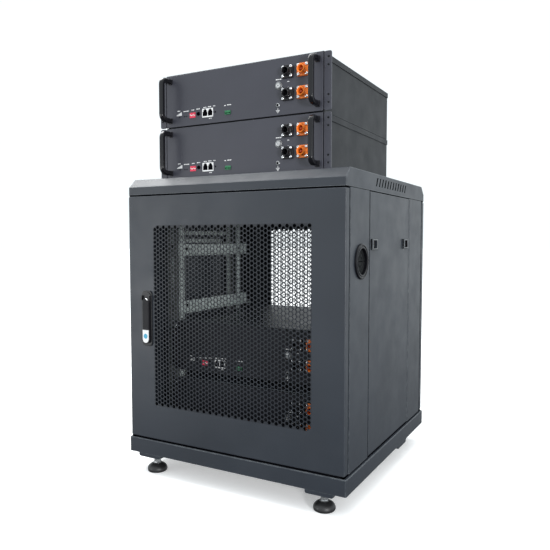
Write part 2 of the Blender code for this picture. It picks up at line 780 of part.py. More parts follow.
def make_front_panel():
    """The 19-inch plate, with its ear holes, terminal holes and button hole."""
    half = EAR_WIDTH / 2
    outline = rounded_rectangle((-half, GAP), (half, PANEL_HEIGHT), 0.004, 2)
    holes = [
        ring_points(EAR_HOLE_RADIUS, (side * EAR_HOLE_X, z), 8) for side in (-1, 1) for z in EAR_HOLES_Z
    ]
    holes += [ring_points(NECK_RADIUS + 0.0005, (x, z), 12) for x in TERMINALS_X for z in TERMINALS_Z]
    holes.append(ring_points(BUTTON_RADIUS + 0.0004, (BUTTON_X, BUTTON_Z), 16))
    return punched_plate(outline, holes, 0, PANEL_THICKNESS)


def make_case():
    """Bottom, sides and back in one bent sheet, open to the front and above."""
    start = PANEL_THICKNESS + GAP
    tray = block((-CASE_HALF_WIDTH, start, 0), (CASE_HALF_WIDTH, CASE_REAR, CASE_HEIGHT))
    tray = softened(tray, 0.0015, 1, lambda e: all(v.co.z < 0.0001 for v in e.verts))
    hollow = block(
        (CASE_WALL - CASE_HALF_WIDTH, start - 0.01, CASE_WALL),
        (CASE_HALF_WIDTH - CASE_WALL, CASE_REAR - CASE_WALL, CASE_HEIGHT + 0.01),
    )
    return cut(tray, hollow)


def make_lid():
    """A shallow pan that caps the case, its flanges outside the case's sides and back."""
    start = PANEL_THICKNESS + GAP
    half = CASE_HALF_WIDTH + GAP + LID_SHEET
    rear = CASE_REAR + GAP + LID_SHEET
    lid = block((-half, start, MODULE_HEIGHT - LID_FLANGE), (half, rear, MODULE_HEIGHT))
    lid = softened(lid, 0.0012, 2, lambda e: any(v.co.z > MODULE_HEIGHT - 0.0001 for v in e.verts))
    hollow = block(
        (LID_SHEET - half, start - 0.01, MODULE_HEIGHT - LID_FLANGE - 0.01),
        (half - LID_SHEET, rear - LID_SHEET, CASE_HEIGHT + GAP),
    )
    return cut(lid, hollow)


def handle_points():
    """Out from the lower foot, up along the grip and back in, with a quarter-round at each corner."""
    span = HANDLE_TOP - HANDLE_BOTTOM
    near = -HANDLE_REACH + HANDLE_BEND
    quarter = [math.pi / 2 * step / 4 for step in range(5)]
    lower = [(0, near - HANDLE_BEND * math.sin(a), HANDLE_BEND - HANDLE_BEND * math.cos(a)) for a in quarter]
    upper = [(x, y, span - z) for x, y, z in reversed(lower)]
    return [(0, -GAP, 0), *lower, *upper, (0, -GAP, span)]


def make_terminals():
    """Four flanged sockets: square flanges on the panel, necks through it, and one carrier plate behind."""
    behind = PANEL_THICKNESS + GAP
    low_x, high_x = TERMINALS_X
    low_z, high_z = TERMINALS_Z
    margin = FLANGE_SIZE / 2
    carrier = block(
        (low_x - margin + CARRIER_MARGIN, behind, low_z - margin),
        (high_x + margin - CARRIER_MARGIN, behind + CARRIER_THICKNESS, high_z + margin),
    )
    pieces = []
    for x in TERMINALS_X:
        for z in TERMINALS_Z:
            flange = block(
                (x - margin, -GAP - FLANGE_THICKNESS, z - margin), (x + margin, -GAP, z + margin)
            )
            pieces.append(softened(flange, 0.0025, 1, runs_along("y")))
            profile = [(0, -GAP - BARREL_LENGTH), (BARREL_RADIUS - 0.0015, -GAP - BARREL_LENGTH)]
            profile += [(BARREL_RADIUS, 0.0015 - GAP - BARREL_LENGTH), (BARREL_RADIUS, -0.002)]
            profile += [(NECK_RADIUS, -0.0015), (NECK_RADIUS, behind + 0.001), (0, behind + 0.001)]
            pieces.append(turned(profile, (x, 0, z), "y", 12))
    return joined(carrier, *pieces)


def make_button():
    """A round push cap whose stem runs through the panel, measured from the middle of its face hole."""
    profile = [
        (0, -BUTTON_PROUD),
        (BUTTON_RADIUS - 0.001, -BUTTON_PROUD),
        (BUTTON_RADIUS, 0.001 - BUTTON_PROUD),
        (BUTTON_RADIUS, BUTTON_STEM_END),
        (0, BUTTON_STEM_END),
    ]
    return turned(profile, (0, 0, 0), "y", 16)


def make_cells():
    """The block of cells, with its busbars and management board, as one sealed box."""
    low = (-CELLS_HALF_WIDTH, CELLS_START, CELLS_BOTTOM)
    high = (CELLS_HALF_WIDTH, CELLS_END, CELLS_TOP)
    return softened(block(low, high), 0.002, 1)


def make_modules(materials):
    """Four copies of one module. The case carries its other pieces, as their parent."""
    meshes = {
        "front_panel": (take_mesh(make_front_panel(), "front_panel"), "module"),
        "lid": (take_mesh(make_lid(), "lid"), "module"),
        "terminals": (take_mesh(make_terminals(), "terminals"), "plastic"),
        "cell_pack": (take_mesh(make_cells(), "cell_pack"), "cells"),
    }
    case_mesh = take_mesh(make_case(), "case")
    handle_mesh = take_mesh(tube_along(handle_points(), HANDLE_RADIUS), "handle")
    button_mesh = take_mesh(make_button(), "power_button")
    for number, (x, y, z) in MODULE_PLACES.items():
        case = place(f"module_{number}_case", case_mesh, materials["module"], (x, y, z))
        for part, (mesh, material) in meshes.items():
            place(f"module_{number}_{part}", mesh, materials[material], (x, y, z), case)
        for side_name, side in (("left", -1), ("right", 1)):
            at = (x + side * HANDLE_X, y, z + HANDLE_BOTTOM)
            place(f"module_{number}_handle_{side_name}", handle_mesh, materials["plastic"], at, case)
        at = (x + BUTTON_X, y, z + BUTTON_Z)
        place(f"module_{number}_power_button", button_mesh, materials["bright"], at, case)


def main():
    for obj in list(bpy.data.objects):
        bpy.data.objects.remove(obj)
    materials = make_materials()
    make_plinth(materials)
    make_feet(materials)
    make_roof(materials)
    make_sides(materials)
    make_cable_port(materials)
    make_posts(materials)
    make_rails(materials)
    make_lock(make_doors(materials), materials)
    make_modules(materials)


main()
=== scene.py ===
"""The looks of the battery rack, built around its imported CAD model.

Each section makes one group of pieces, and the last one the studio round them."""

import json
import math

import bmesh
import bpy
from mathutils import Matrix, Vector


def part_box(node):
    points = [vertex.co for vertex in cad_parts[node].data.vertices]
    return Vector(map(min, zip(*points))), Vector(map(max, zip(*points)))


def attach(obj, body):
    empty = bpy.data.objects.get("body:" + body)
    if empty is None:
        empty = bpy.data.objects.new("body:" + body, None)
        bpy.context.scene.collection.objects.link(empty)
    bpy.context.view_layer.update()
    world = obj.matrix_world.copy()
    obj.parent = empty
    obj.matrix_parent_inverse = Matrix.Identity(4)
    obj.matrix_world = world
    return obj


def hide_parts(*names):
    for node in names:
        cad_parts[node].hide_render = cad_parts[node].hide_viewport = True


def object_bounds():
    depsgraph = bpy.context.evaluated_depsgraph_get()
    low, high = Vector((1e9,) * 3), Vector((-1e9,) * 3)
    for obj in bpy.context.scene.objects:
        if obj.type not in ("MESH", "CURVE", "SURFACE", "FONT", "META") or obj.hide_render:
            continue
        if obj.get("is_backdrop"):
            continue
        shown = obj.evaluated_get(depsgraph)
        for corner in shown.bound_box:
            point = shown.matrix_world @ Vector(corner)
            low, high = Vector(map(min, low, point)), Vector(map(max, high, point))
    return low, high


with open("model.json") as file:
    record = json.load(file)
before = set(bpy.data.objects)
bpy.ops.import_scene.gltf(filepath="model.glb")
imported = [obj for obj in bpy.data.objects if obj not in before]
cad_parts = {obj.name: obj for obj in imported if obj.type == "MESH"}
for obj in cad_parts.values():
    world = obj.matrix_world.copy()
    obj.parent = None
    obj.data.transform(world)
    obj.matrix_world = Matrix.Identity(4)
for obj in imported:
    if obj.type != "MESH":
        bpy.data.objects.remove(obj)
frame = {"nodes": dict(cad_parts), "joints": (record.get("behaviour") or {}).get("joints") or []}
cad_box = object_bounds()

MM = 0.001


# ---------------- materials

PATCH_SHARE = 0.65  # of the colour variation; the fine grain makes the rest
GLOSS_SPREAD = 0.05
GRAIN_DEPTH = 0.15 * MM
WEAR_AND_GLINT_WIDTH = 1.1 * MM
WEAR_AND_GLINT_PATCHES = 70.0
EDGE_STARTS = 0.997  # how far the rounded normal agrees with the flat one where the light edge starts, part wear and part painted highlight
EDGE_FULL = 0.88


class Tree:
    """Short names for building one material's nodes."""

    def __init__(self, material):
        self.tree = material.node_tree
        self.shader = self.tree.nodes["Principled BSDF"]
        self.coords = self.add("ShaderNodeTexCoord").outputs["Object"]

    def add(self, kind, **settings):
        node = self.tree.nodes.new(kind)
        for name, value in settings.items():
            setattr(node, name, value)
        return node

    def link(self, source, target):
        self.tree.links.new(source, target)

    def noise(self, scale, detail):
        node = self.add("ShaderNodeTexNoise")
        node.inputs["Scale"].default_value = scale
        node.inputs["Detail"].default_value = detail
        self.link(self.coords, node.inputs["Vector"])
        return node.outputs[0]

    def between(self, value, start, end, low, high):
        node = self.add("ShaderNodeMapRange", clamp=True)
        self.link(value, node.inputs["Value"])
        ends = {"From Min": start, "From Max": end, "To Min": low, "To Max": high}
        for name, number in ends.items():
            node.inputs[name].default_value = number
        return node.outputs["Result"]

    def math(self, operation, first, second):
        node = self.add("ShaderNodeMath", operation=operation)
        for socket, value in zip(node.inputs, (first, second)):
            if isinstance(value, float):
                socket.default_value = value
            else:
                self.link(value, socket)
        return node.outputs["Value"]

    def mix(self, factor, first, second):
        node = self.add("ShaderNodeMix", data_type="RGBA")
        self.link(factor, node.inputs["Factor"])
        for name, value in (("A", first), ("B", second)):
            socket = next(s for s in node.inputs if s.name == name and s.type == "RGBA")
            if isinstance(value, tuple):
                socket.default_value = (*value, 1.0)
            else:
                self.link(value, socket)
        return next(s for s in node.outputs if s.type == "RGBA")

    def edges(self, width):
        """1 along sharp edges and 0 on flat ground."""
        bevel = self.add("ShaderNodeBevel", samples=4)
        bevel.inputs["Radius"].default_value = width
        dot = self.add("ShaderNodeVectorMath", operation="DOT_PRODUCT")
        self.link(bevel.outputs["Normal"], dot.inputs[0])
        self.link(self.add("ShaderNodeNewGeometry").outputs["Normal"], dot.inputs[1])
        return self.between(dot.outputs["Value"], EDGE_STARTS, EDGE_FULL, 0.0, 1.0)


def surface(name, colour, roughness, metallic=0.0, patch=6.0, tint=0.12, grain=900.0, bump=0.2, specular=0.5,
            glow=0.0, edge_wear_and_glint=None, wear_and_glint_width=WEAR_AND_GLINT_WIDTH, wear_and_glint_most=0.6):
    """A procedural material: broad and fine colour variation, uneven gloss, fine relief, and light edges
    that are partly wear and partly painted highlight.
    """
    material = bpy.data.materials.new(name)
    material.use_nodes = True
    t = Tree(material)
    broad = t.noise(patch, 4.0)
    fine = t.noise(grain, 2.0)
    both = t.math("ADD", t.math("MULTIPLY", broad, PATCH_SHARE), t.math("MULTIPLY", fine, 1 - PATCH_SHARE))
    dark = tuple(c * (1 - tint) for c in colour)
    light = tuple(min(1.0, c * (1 + tint)) for c in colour)
    shade = t.mix(t.between(both, 0.36, 0.64, 0.0, 1.0), dark, light)
    # Lighter colour along sharp edges: partly wear, partly painted highlight standing in for glints on the
    # edges.
    if edge_wear_and_glint:
        patchy = t.between(t.noise(WEAR_AND_GLINT_PATCHES, 3.0), 0.38, 0.66, 0.15, wear_and_glint_most)
        shade = t.mix(t.math("MULTIPLY", t.edges(wear_and_glint_width), patchy), shade, edge_wear_and_glint)
    t.link(shade, t.shader.inputs["Base Color"])
    uneven = t.noise(patch * 3.1, 4.0)
    gloss = t.between(uneven, 0.3, 0.7, roughness - GLOSS_SPREAD, roughness + GLOSS_SPREAD)
    t.link(gloss, t.shader.inputs["Roughness"])
    plain = {"Metallic": metallic, "Specular IOR Level": specular, "Emission Strength": glow}
    for socket, value in plain.items():
        t.shader.inputs[socket].default_value = value
    relief = t.add("ShaderNodeBump")
    relief.inputs["Strength"].default_value = bump
    relief.inputs["Distance"].default_value = GRAIN_DEPTH
    t.link(fine, relief.inputs["Height"])
    t.link(relief.outputs["Normal"], t.shader.inputs["Normal"])
    return material


# Its strong light edges are partly wear and partly painted highlight, standing in for glints on the base's
# top edge and the roof's crease.
PAINT = surface("cabinet_powder_coat", (0.022, 0.027, 0.036), 0.42, grain=620.0, bump=0.25,
                edge_wear_and_glint=(0.20, 0.22, 0.23), wear_and_glint_width=1.8 * MM, wear_and_glint_most=0.95)
MODULE = surface("module_powder_coat", (0.042, 0.043, 0.057), 0.40, edge_wear_and_glint=(0.16, 0.17, 0.18))
# A darker, less glossy copy of the cabinet paint for the doors' perforated area: painted shade.
SHEET_PAINT = surface("perforated_sheet_coat", (0.018, 0.021, 0.027), 0.44, grain=620.0, specular=0.38)
CASE = surface("module_case_coat", (0.016, 0.018, 0.021), 0.48, edge_wear_and_glint=(0.12, 0.125, 0.13), specular=0.2)
# A darker copy of the module paint for the two modules inside the cabinet: painted shade for the dimmer
# light behind the doors.
PAINTED_SHADE_COAT = surface("painted_shade_module_coat", (0.013, 0.014, 0.018), 0.5, edge_wear_and_glint=(0.06, 0.06, 0.065),
                      specular=0.2)
GALVANISED = surface("galvanised_sheet", (0.62, 0.69, 0.67), 0.4, 0.2, patch=45.0, tint=0.18, grain=160.0,
                     bump=0.08, edge_wear_and_glint=(0.7, 0.72, 0.71))
BLACK = surface("black_moulding", (0.010, 0.010, 0.012), 0.36, grain=1100.0, bump=0.12,
                edge_wear_and_glint=(0.06, 0.06, 0.065), specular=0.35)
GLOSS_BLACK = surface("black_lacquer", (0.006, 0.006, 0.008), 0.14, grain=500.0, bump=0.03,
                      edge_wear_and_glint=(0.08, 0.08, 0.085), specular=0.38)
ORANGE = surface("orange_moulding", (1.0, 0.23, 0.018), 0.32, tint=0.07, bump=0.08, edge_wear_and_glint=(1.0, 0.34, 0.08))
# A darker orange for the orange sockets' floor and pin: painted shade inside the socket.
ORANGE_SHADE = surface("orange_socket_painted_shade", (0.42, 0.07, 0.008), 0.38, tint=0.1, bump=0.08)
WHITE = surface("white_print", (0.82, 0.82, 0.82), 0.45, tint=0.04, bump=0.05)
RED = surface("red_moulding", (0.74, 0.02, 0.075), 0.32, tint=0.08, bump=0.06, edge_wear_and_glint=(0.9, 0.2, 0.25))
GREEN = surface("green_moulding", (0.02, 0.20, 0.075), 0.4, tint=0.1, bump=0.06, edge_wear_and_glint=(0.12, 0.42, 0.22))
RUBBER = surface("foot_rubber", (0.014, 0.014, 0.015), 0.42, tint=0.2, grain=500.0, edge_wear_and_glint=(0.05, 0.05, 0.05))
STEEL = surface("bright_steel", (0.80, 0.81, 0.82), 0.22, 1.0, patch=60.0, tint=0.08, grain=400.0,
                bump=0.05, edge_wear_and_glint=(0.95, 0.95, 0.95))
BRUSHED = surface("brushed_cap", (0.30, 0.31, 0.32), 0.45, 0.8, patch=60.0, tint=0.12, grain=500.0,
                  bump=0.1, edge_wear_and_glint=(0.7, 0.7, 0.7))
# Near black with no shine, for black parts and as painted shade in gaps, vent slots, holes and socket
# insides.
DARK = surface("dark_recess", (0.003, 0.003, 0.004), 0.9, tint=0.2, grain=700.0, bump=0.1, specular=0.0)
TRIM = surface("latch_trim", (0.10, 0.105, 0.11), 0.4, tint=0.1, grain=700.0, bump=0.1,
               edge_wear_and_glint=(0.5, 0.52, 0.53))
MEMBRANE = surface("port_membrane", (0.010, 0.011, 0.012), 0.6, specular=0.12)
# A darker zinc for the posts' front faces: painted shade from the door's uprights.
POST_FACE_SHADE = surface("post_face_painted_shade", (0.085, 0.092, 0.09), 0.55, patch=45.0, tint=0.15, grain=160.0,
                    specular=0.2, bump=0.15)
LEVER = surface("lever_black", (0.011, 0.011, 0.013), 0.4, bump=0.1, specular=0.16)
PORT_BLACK = surface("port_black", (0.006, 0.006, 0.008), 0.2, grain=500.0, bump=0.03, specular=0.17)
BLUE = surface("blue_cap", (0.03, 0.33, 0.52), 0.3, tint=0.06, bump=0.05)
CELLS = surface("cell_sleeve", (0.45, 0.46, 0.48), 0.4, 0.8, patch=25.0, tint=0.15, grain=300.0, bump=0.1)


# ---------------- shapes

SHARP_ANGLE = math.radians(35)
SMALLEST_CORNER = 0.05 * MM
UPWARD = Matrix.Rotation(-math.pi / 2, 4, "X")
FACING_RIGHT = Matrix.Rotation(math.pi / 2, 4, "Z")
FACING_LEFT = Matrix.Rotation(-math.pi / 2, 4, "Z")


def moved(x, y, z):
    return Matrix.Translation((x, y, z))


def merge(bm, part, material=0, matrix=None):
    """Adds a part to a mesh in the making, with one material for all of it."""
    for face in part.faces:
        face.material_index = material
    if matrix is not None:
        bmesh.ops.transform(part, matrix=matrix, verts=part.verts)
    mesh = bpy.data.meshes.new("part")
    part.to_mesh(mesh)
    part.free()
    bm.from_mesh(mesh)
    bpy.data.meshes.remove(mesh)


def mesh_of(name, bm, materials):
    bmesh.ops.recalc_face_normals(bm, faces=bm.faces)
    mesh = bpy.data.meshes.new(name)
    bm.to_mesh(mesh)
    bm.free()
    mesh.shade_smooth()
    mesh.set_sharp_from_angle(angle=SHARP_ANGLE)
    for material in materials:
        mesh.materials.append(material)
    return mesh


def piece(name, mesh, body, slot, replaced=(), at=(0.0, 0.0, 0.0)):
    """Puts a mesh in the scene as a named piece that rides on a body, in place of the CAD nodes given."""
    obj = bpy.data.objects.new(name, mesh)
    bpy.context.scene.collection.objects.link(obj)
    obj.location = at
    weighted = obj.modifiers.new("normals", "WEIGHTED_NORMAL")
    weighted.keep_sharp = True
    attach(obj, body)
    if replaced:
        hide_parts(*replaced)


def soft_box(low, high, soft, steps=2):
    """A box with all its edges rounded."""
    part = bmesh.new()
    middle = (Vector(low) + Vector(high)) / 2
    size = Vector(high) - Vector(low)
    bmesh.ops.create_cube(part, size=1.0, matrix=Matrix.Translation(middle) @ Matrix.Diagonal((*size, 1.0)))
    bmesh.ops.bevel(part, geom=part.edges, offset=soft, segments=steps, profile=0.5, affect="EDGES")
    return part


def slab(low, high, front, back, soft, steps=2):
    """A soft box from its two (x, z) corners and its front and back."""
    return soft_box((low[0], front, low[1]), (high[0], back, high[1]), soft, steps)


def lathe(profile, sides, closed=False):
    """(radius, distance) pairs turned about Y; distance is towards the front.

    Both ends are on the axis, or the profile closes on itself and makes a ring."""
    part = bmesh.new()
    rings = []
    for radius, out in profile:
        if radius == 0:
            rings.append([part.verts.new((0, -out, 0))])
            continue
        turns = [2 * math.pi * step / sides for step in range(sides)]
        rings.append([part.verts.new((radius * math.cos(t), -out, radius * math.sin(t))) for t in turns])
    for lower, upper in zip(rings, rings[1:] + rings[:1] if closed else rings[1:]):
        for step in range(sides):
            after = (step + 1) % sides
            corners = [lower[step % len(lower)], lower[after % len(lower)]]
            corners += [upper[after % len(upper)], upper[step % len(upper)]]
            part.faces.new(list(dict.fromkeys(corners)))
    return part


def turned(profile, sides, closed=False):
    """A lathed part whose profile is in millimetres."""
    return lathe([(radius * MM, out * MM) for radius, out in profile], sides, closed)


def screw(radius, height):
    """A pan head with a round recess, its seat at zero."""
    rise = [(0, 0.35), (0.42, 0.35), (0.45, 1.0), (0.7, 0.93), (0.9, 0.7), (1.0, 0.35), (1.0, 0.0), (0, 0)]
    return lathe([(radius * r, height * h) for r, h in rise], 24)


def exactly(points):
    """An outline that stays the same when it is asked for larger or smaller."""
    return lambda grow: points


def circle(centre, radius, sides):
    """A round outline that can be asked for a little larger or smaller."""

    def outline(grow):
        turns = [2 * math.pi * (step + 0.5) / sides for step in range(sides)]
        reach = radius + grow
        return [(centre[0] + reach * math.cos(t), centre[1] + reach * math.sin(t)) for t in turns]

    return outline


def rounded(low, high, radius, steps=3):
    """A rectangular outline with rounded corners that can be asked for a little larger or smaller."""

    def outline(grow):
        r = max(radius + grow, SMALLEST_CORNER)
        corners = (
            (high[0] + grow - r, high[1] + grow - r, 0.0),
            (low[0] - grow + r, high[1] + grow - r, 0.5),
            (low[0] - grow + r, low[1] - grow + r, 1.0),
            (high[0] + grow - r, low[1] - grow + r, 1.5),
        )
        points = []
        for x, z, first in corners:
            turns = [math.pi * (first + step / steps / 2) for step in range(steps + 1)]
            points += [(x + r * math.cos(t), z + r * math.sin(t)) for t in turns]
        return points

    return outline


def framed(x, z, half_x, half_z, radius, steps=3):
    """A rounded outline from its middle and half sizes."""
    return rounded((x - half_x, z - half_z), (x + half_x, z + half_z), radius, steps)


def plate(outline, holes, front, back, soft, steps=3):
    """A plate in X and Z from y=front to y=back, with softened edges at its front, also around its holes."""
    part = bmesh.new()
    toward = 1 if back > front else -1
    quarter = [math.pi / 2 * step / steps for step in range(steps + 1)]
    levels = [(soft * (1 - math.sin(a)), front + toward * soft * (1 - math.cos(a))) for a in quarter]
    levels.append((0.0, back))
    first, last = [], []
    for number, loop in enumerate((outline, *holes)):
        inward = -1 if number == 0 else 1
        rings = [[part.verts.new((x, y, z)) for x, z in loop(inward * inset)] for inset, y in levels]
        for near, far in zip(rings, rings[1:]):
            bridge(part, near, far)
        for ring, edges in ((rings[0], first), (rings[-1], last)):
            edges += [part.edges.get((a, b)) for a, b in zip(ring, ring[1:] + ring[:1])]
    for edges in (first, last):
        bmesh.ops.triangle_fill(part, use_beauty=True, use_dissolve=False, edges=edges)
    return part


def bridge(part, near, far):
    """Faces between two rings with as many points each."""
    for step in range(len(near)):
        after = (step + 1) % len(near)
        part.faces.new((near[step], near[after], far[after], far[step]))


def closed_edges(part, ring):
    return [part.edges.new((a, b)) for a, b in zip(ring, ring[1:] + ring[:1])]


def bar_along(path, half_width, half_depth):
    """A bar with a rounded rectangular section that follows points in a plane of constant X."""
    part = bmesh.new()
    corner = min(half_width, half_depth) * 0.62
    section = rounded((-half_width, -half_depth), (half_width, half_depth), corner, 4)(0)
    rings = []
    for number, point in enumerate(path):
        ahead = path[min(number + 1, len(path) - 1)]
        behind = path[max(number - 1, 0)]
        along = (Vector(ahead) - Vector(behind)).normalized()
        across = along.cross(Vector((1, 0, 0))).normalized()
        rings.append([part.verts.new(Vector(point) + Vector((u, 0, 0)) + across * v) for u, v in section])
    for near, far in zip(rings, rings[1:]):
        bridge(part, near, far)
    part.faces.new(rings[0])
    part.faces.new(rings[-1])
    return part


# ---------------- CAD pieces that stay

SIGNS = {"left": -1, "right": 1}
SIDES = tuple(SIGNS)
ENDS = ("front", "rear")
NUMBERS = range(1, 5)
ON_ROOF = 2  # modules 1 and 2 stand on the roof, and 3 and 4 are mounted inside


def repaint(names, material):
    for name in names:
        node = frame["nodes"][name]
        node.data.materials.clear()
        node.data.materials.append(material)


repaint(["base_frame", "top_cover"], PAINT)
repaint([f"side_frame_{side}" for side in SIDES], PAINT)
repaint([f"side_panel_{side}" for side in SIDES], PAINT)
repaint([f"side_latch_{side}_{end}" for side in SIDES for end in ENDS], DARK)
repaint(["lock_cam"], BLACK)
for number in NUMBERS:
    repaint([f"module_{number}_case"], CASE)
    repaint([f"module_{number}_lid"], CASE if number <= ON_ROOF else PAINT)
    repaint([f"module_{number}_cell_pack"], CELLS)


# ---------------- doors

MESH_COLUMNS = 48
MESH_ROWS = 43
MESH_PITCH = 10.5 * MM
MESH_LOW = 181 * MM + MESH_PITCH / 2
HOLE_SHARE = 0.80
DOOR_SOFT = 2.4 * MM
DOOR_LOWERED = 1.6 * MM
DOOR_CORNER = 3.2 * MM
DOOR_SHEET = 1.5 * MM
RIM_THICK = 2.5 * MM
RIM_SOFT = 0.6 * MM


def perforated(part, y):
    """Honeycomb cells, each a hexagon with a smaller hexagonal hole. Returns the cells' shared corners."""
    cell = MESH_PITCH / math.sqrt(3)
    hole = HOLE_SHARE * cell
    corners = {}
    turns = [math.pi / 3 * step for step in range(6)]
    for column in range(MESH_COLUMNS):
        x = (column - (MESH_COLUMNS - 1) / 2) * cell * 1.5
        for row in range(MESH_ROWS):
            z = MESH_LOW + (row + column % 2 / 2) * MESH_PITCH
            outer = []
            inner = []
            for t in turns:
                at = (x + cell * math.cos(t), z + cell * math.sin(t))
                key = (round(at[0] * 1e5), round(at[1] * 1e5))
                if key not in corners:
                    corners[key] = part.verts.new((at[0], y, at[1]))
                outer.append(corners[key])
                inner.append(part.verts.new((x + hole * math.cos(t), y, z + hole * math.sin(t))))
            bridge(part, outer, inner)
    return set(corners.values())


def rim_loops(low, high, front, inward):
    """The door's edge as loops from its face round to the inside of its turned-back flange."""

    def loop(inset, depth):
        flat = rounded((low.x, low.z), (high.x, high.z), DOOR_CORNER)(-inset)
        return [(x, front + inward * depth, z) for x, z in flat]

    quarter = [math.pi / 2 * step / 4 for step in range(5)]
    loops = [loop(DOOR_SOFT * (1 - math.sin(a)), DOOR_SOFT * (1 - math.cos(a))) for a in quarter]
    depth = high.y - low.y
    rim = ((0.0, RIM_SOFT), (RIM_SOFT, 0.0), (RIM_THICK - RIM_SOFT, 0.0), (RIM_THICK, RIM_SOFT))
    loops += [loop(inset, depth - back) for inset, back in rim]
    return loops


def mark_mesh_area(part, shared):
    """Gives the faces between the outermost cells' corners the second material, a darker copy of the door
    paint as painted shade.
    """
    across = [v.co.x for v in shared]
    up = [v.co.z for v in shared]
    for face in part.faces:
        middle = face.calc_center_median()
        if min(across) < middle.x < max(across) and min(up) < middle.z < max(up):
            face.material_index = 1


def door_mesh(name, box, inward, holes=()):
    """A perforated sheet with a rounded rim. inward is 1 when the rim runs towards +Y."""
    low, high = box[0], box[1] - Vector((0, 0, DOOR_LOWERED))
    front = low.y if inward > 0 else high.y
    part = bmesh.new()
    shared = perforated(part, front)
    edges = [e for e in part.edges if e.is_boundary and all(v in shared for v in e.verts)]
    loops = rim_loops(low, high, front, inward)
    face_ring = [part.verts.new(p) for p in loops[0]]
    edges += closed_edges(part, face_ring)
    for outline in holes:
        edges += closed_edges(part, [part.verts.new((x, front, z)) for x, z in outline(0)])
    bmesh.ops.triangle_fill(part, use_beauty=True, use_dissolve=False, edges=edges)
    open_edges = [tuple(e.verts) for e in part.edges if e.is_boundary]
    faces = [list(f.verts) for f in part.faces]
    back_of = {v: part.verts.new(v.co + Vector((0, inward * DOOR_SHEET, 0))) for v in list(part.verts)}
    for corners in faces:
        part.faces.new([back_of[v] for v in reversed(corners)])
    ring = set(face_ring)
    for a, b in open_edges:
        if not (a in ring and b in ring):
            part.faces.new((a, b, back_of[b], back_of[a]))
    rings = [face_ring, *([part.verts.new(p) for p in loop] for loop in loops[1:])]
    rings.append([back_of[v] for v in face_ring])
    for near, far in zip(rings, rings[1:]):
        bridge(part, near, far)
    mark_mesh_area(part, shared)
    return mesh_of(name, part, [PAINT, SHEET_PAINT])


lock_low, lock_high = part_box("lock_housing")
lever_low, lever_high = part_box("lock_lever")
LOCK_X = (lock_low.x + lock_high.x) / 2
HUB_Z = next(joint["pos_m"][2] for joint in frame["joints"] if joint["name"] == "lock_turn")
shaft_hole = circle((LOCK_X, HUB_Z), 9 * MM, 24)
front_skin = door_mesh("front_door_skin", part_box("front_door"), 1, [shaft_hole])
piece("front_door_skin", front_skin, "front_door", "cabinet_paint", ["front_door"])
rear_skin = door_mesh("rear_door_skin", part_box("rear_door"), -1)
piece("rear_door_skin", rear_skin, "rear_door", "cabinet_paint", ["rear_door"])


# ---------------- lock

LEVER_FACE = lever_low.y + 0.6 * MM
LEVER_LEFT = lever_low.x + 1.2 * MM
LEVER_RIGHT = lever_high.x - 0.3 * MM
LEVER_MIDDLE = (LEVER_LEFT + LEVER_RIGHT) / 2
GLINT_OUT = 0.4 * MM
COVER_OUT = 0.5 * MM
CAP_OUT = 0.6 * MM


def lock_plate_mesh():
    part = bmesh.new()
    outline = rounded((lock_low.x, lock_low.z), (lock_high.x, lock_high.z), 8 * MM, 6)
    hole = circle((LOCK_X, HUB_Z), 8.4 * MM, 32)
    merge(part, plate(outline, [hole], lock_low.y, lock_high.y, 1.0 * MM))
    return mesh_of("lock_plate", part, [BLACK])


def lock_grip_mesh():
    """The lever, with a bright steel arc at its round top that is a painted highlight."""
    part = bmesh.new()
    outline = rounded((LEVER_LEFT, lever_low.z), (LEVER_RIGHT, lever_high.z - 1.6 * MM), 8 * MM, 8)
    merge(part, plate(outline, [], LEVER_FACE, lever_high.y, 2.0 * MM, 4))
    # A bright steel arc: a painted highlight on the lever's round top.
    arc = [math.radians(15 + 80 * step / 8) for step in range(9)]
    glint = [(6.4 * MM * math.cos(a), 6.4 * MM * math.sin(a)) for a in arc]
    glint += [(4.8 * MM * math.cos(a), 4.8 * MM * math.sin(a)) for a in reversed(arc)]
    at = (LOCK_X + 1.5 * MM, lever_high.z - 9 * MM)
    points = [(at[0] + x, at[1] + z) for x, z in glint]
    merge(part, plate(exactly(points), [], LEVER_FACE - GLINT_OUT, LEVER_FACE + 1 * MM, 0.0, 1), 1)
    return mesh_of("lock_grip", part, [LEVER, STEEL])


def lock_cover_mesh():
    """A white cover over the lever's lower end, round at the bottom."""
    part = bmesh.new()
    bottom, top = lever_low.z + 1.6 * MM, lever_low.z + 34 * MM
    half = (LEVER_RIGHT - LEVER_LEFT) / 2 - 0.4 * MM
    turns = [math.pi + math.pi * step / 16 for step in range(17)]
    flat = [(LEVER_MIDDLE + half * math.cos(t), bottom + half + half * math.sin(t)) for t in turns]
    flat += [(LEVER_MIDDLE + half, top), (LEVER_MIDDLE - half, top)]
    merge(part, plate(exactly(flat), [], LEVER_FACE - COVER_OUT, LEVER_FACE + 1 * MM, 0.0, 1))
    return mesh_of("lock_cover", part, [WHITE])


def lock_cap_mesh():
    part = bmesh.new()
    outline = circle((LEVER_MIDDLE, lever_low.z + 18.5 * MM), 6.4 * MM, 32)
    merge(part, plate(outline, [], LEVER_FACE - CAP_OUT, LEVER_FACE, 0.3 * MM))
    return mesh_of("lock_cap", part, [BLUE])


piece("lock_plate", lock_plate_mesh(), "front_door", "black_plastic", ["lock_housing"])
piece("lock_grip", lock_grip_mesh(), "lock_lever", "black_plastic", ["lock_lever"])
piece("lock_cover", lock_cover_mesh(), "lock_lever", "white_plastic")
piece("lock_cap", lock_cap_mesh(), "lock_lever", "white_plastic")


# ---------------- feet and cable port

MEMBRANE_RADIUS = 28.8 * MM
MEMBRANE_SLIT = 0.9 * MM
THREAD_TURNS = 8
THREAD_PITCH = 1.5  # in millimetres, as the foot's profiles are


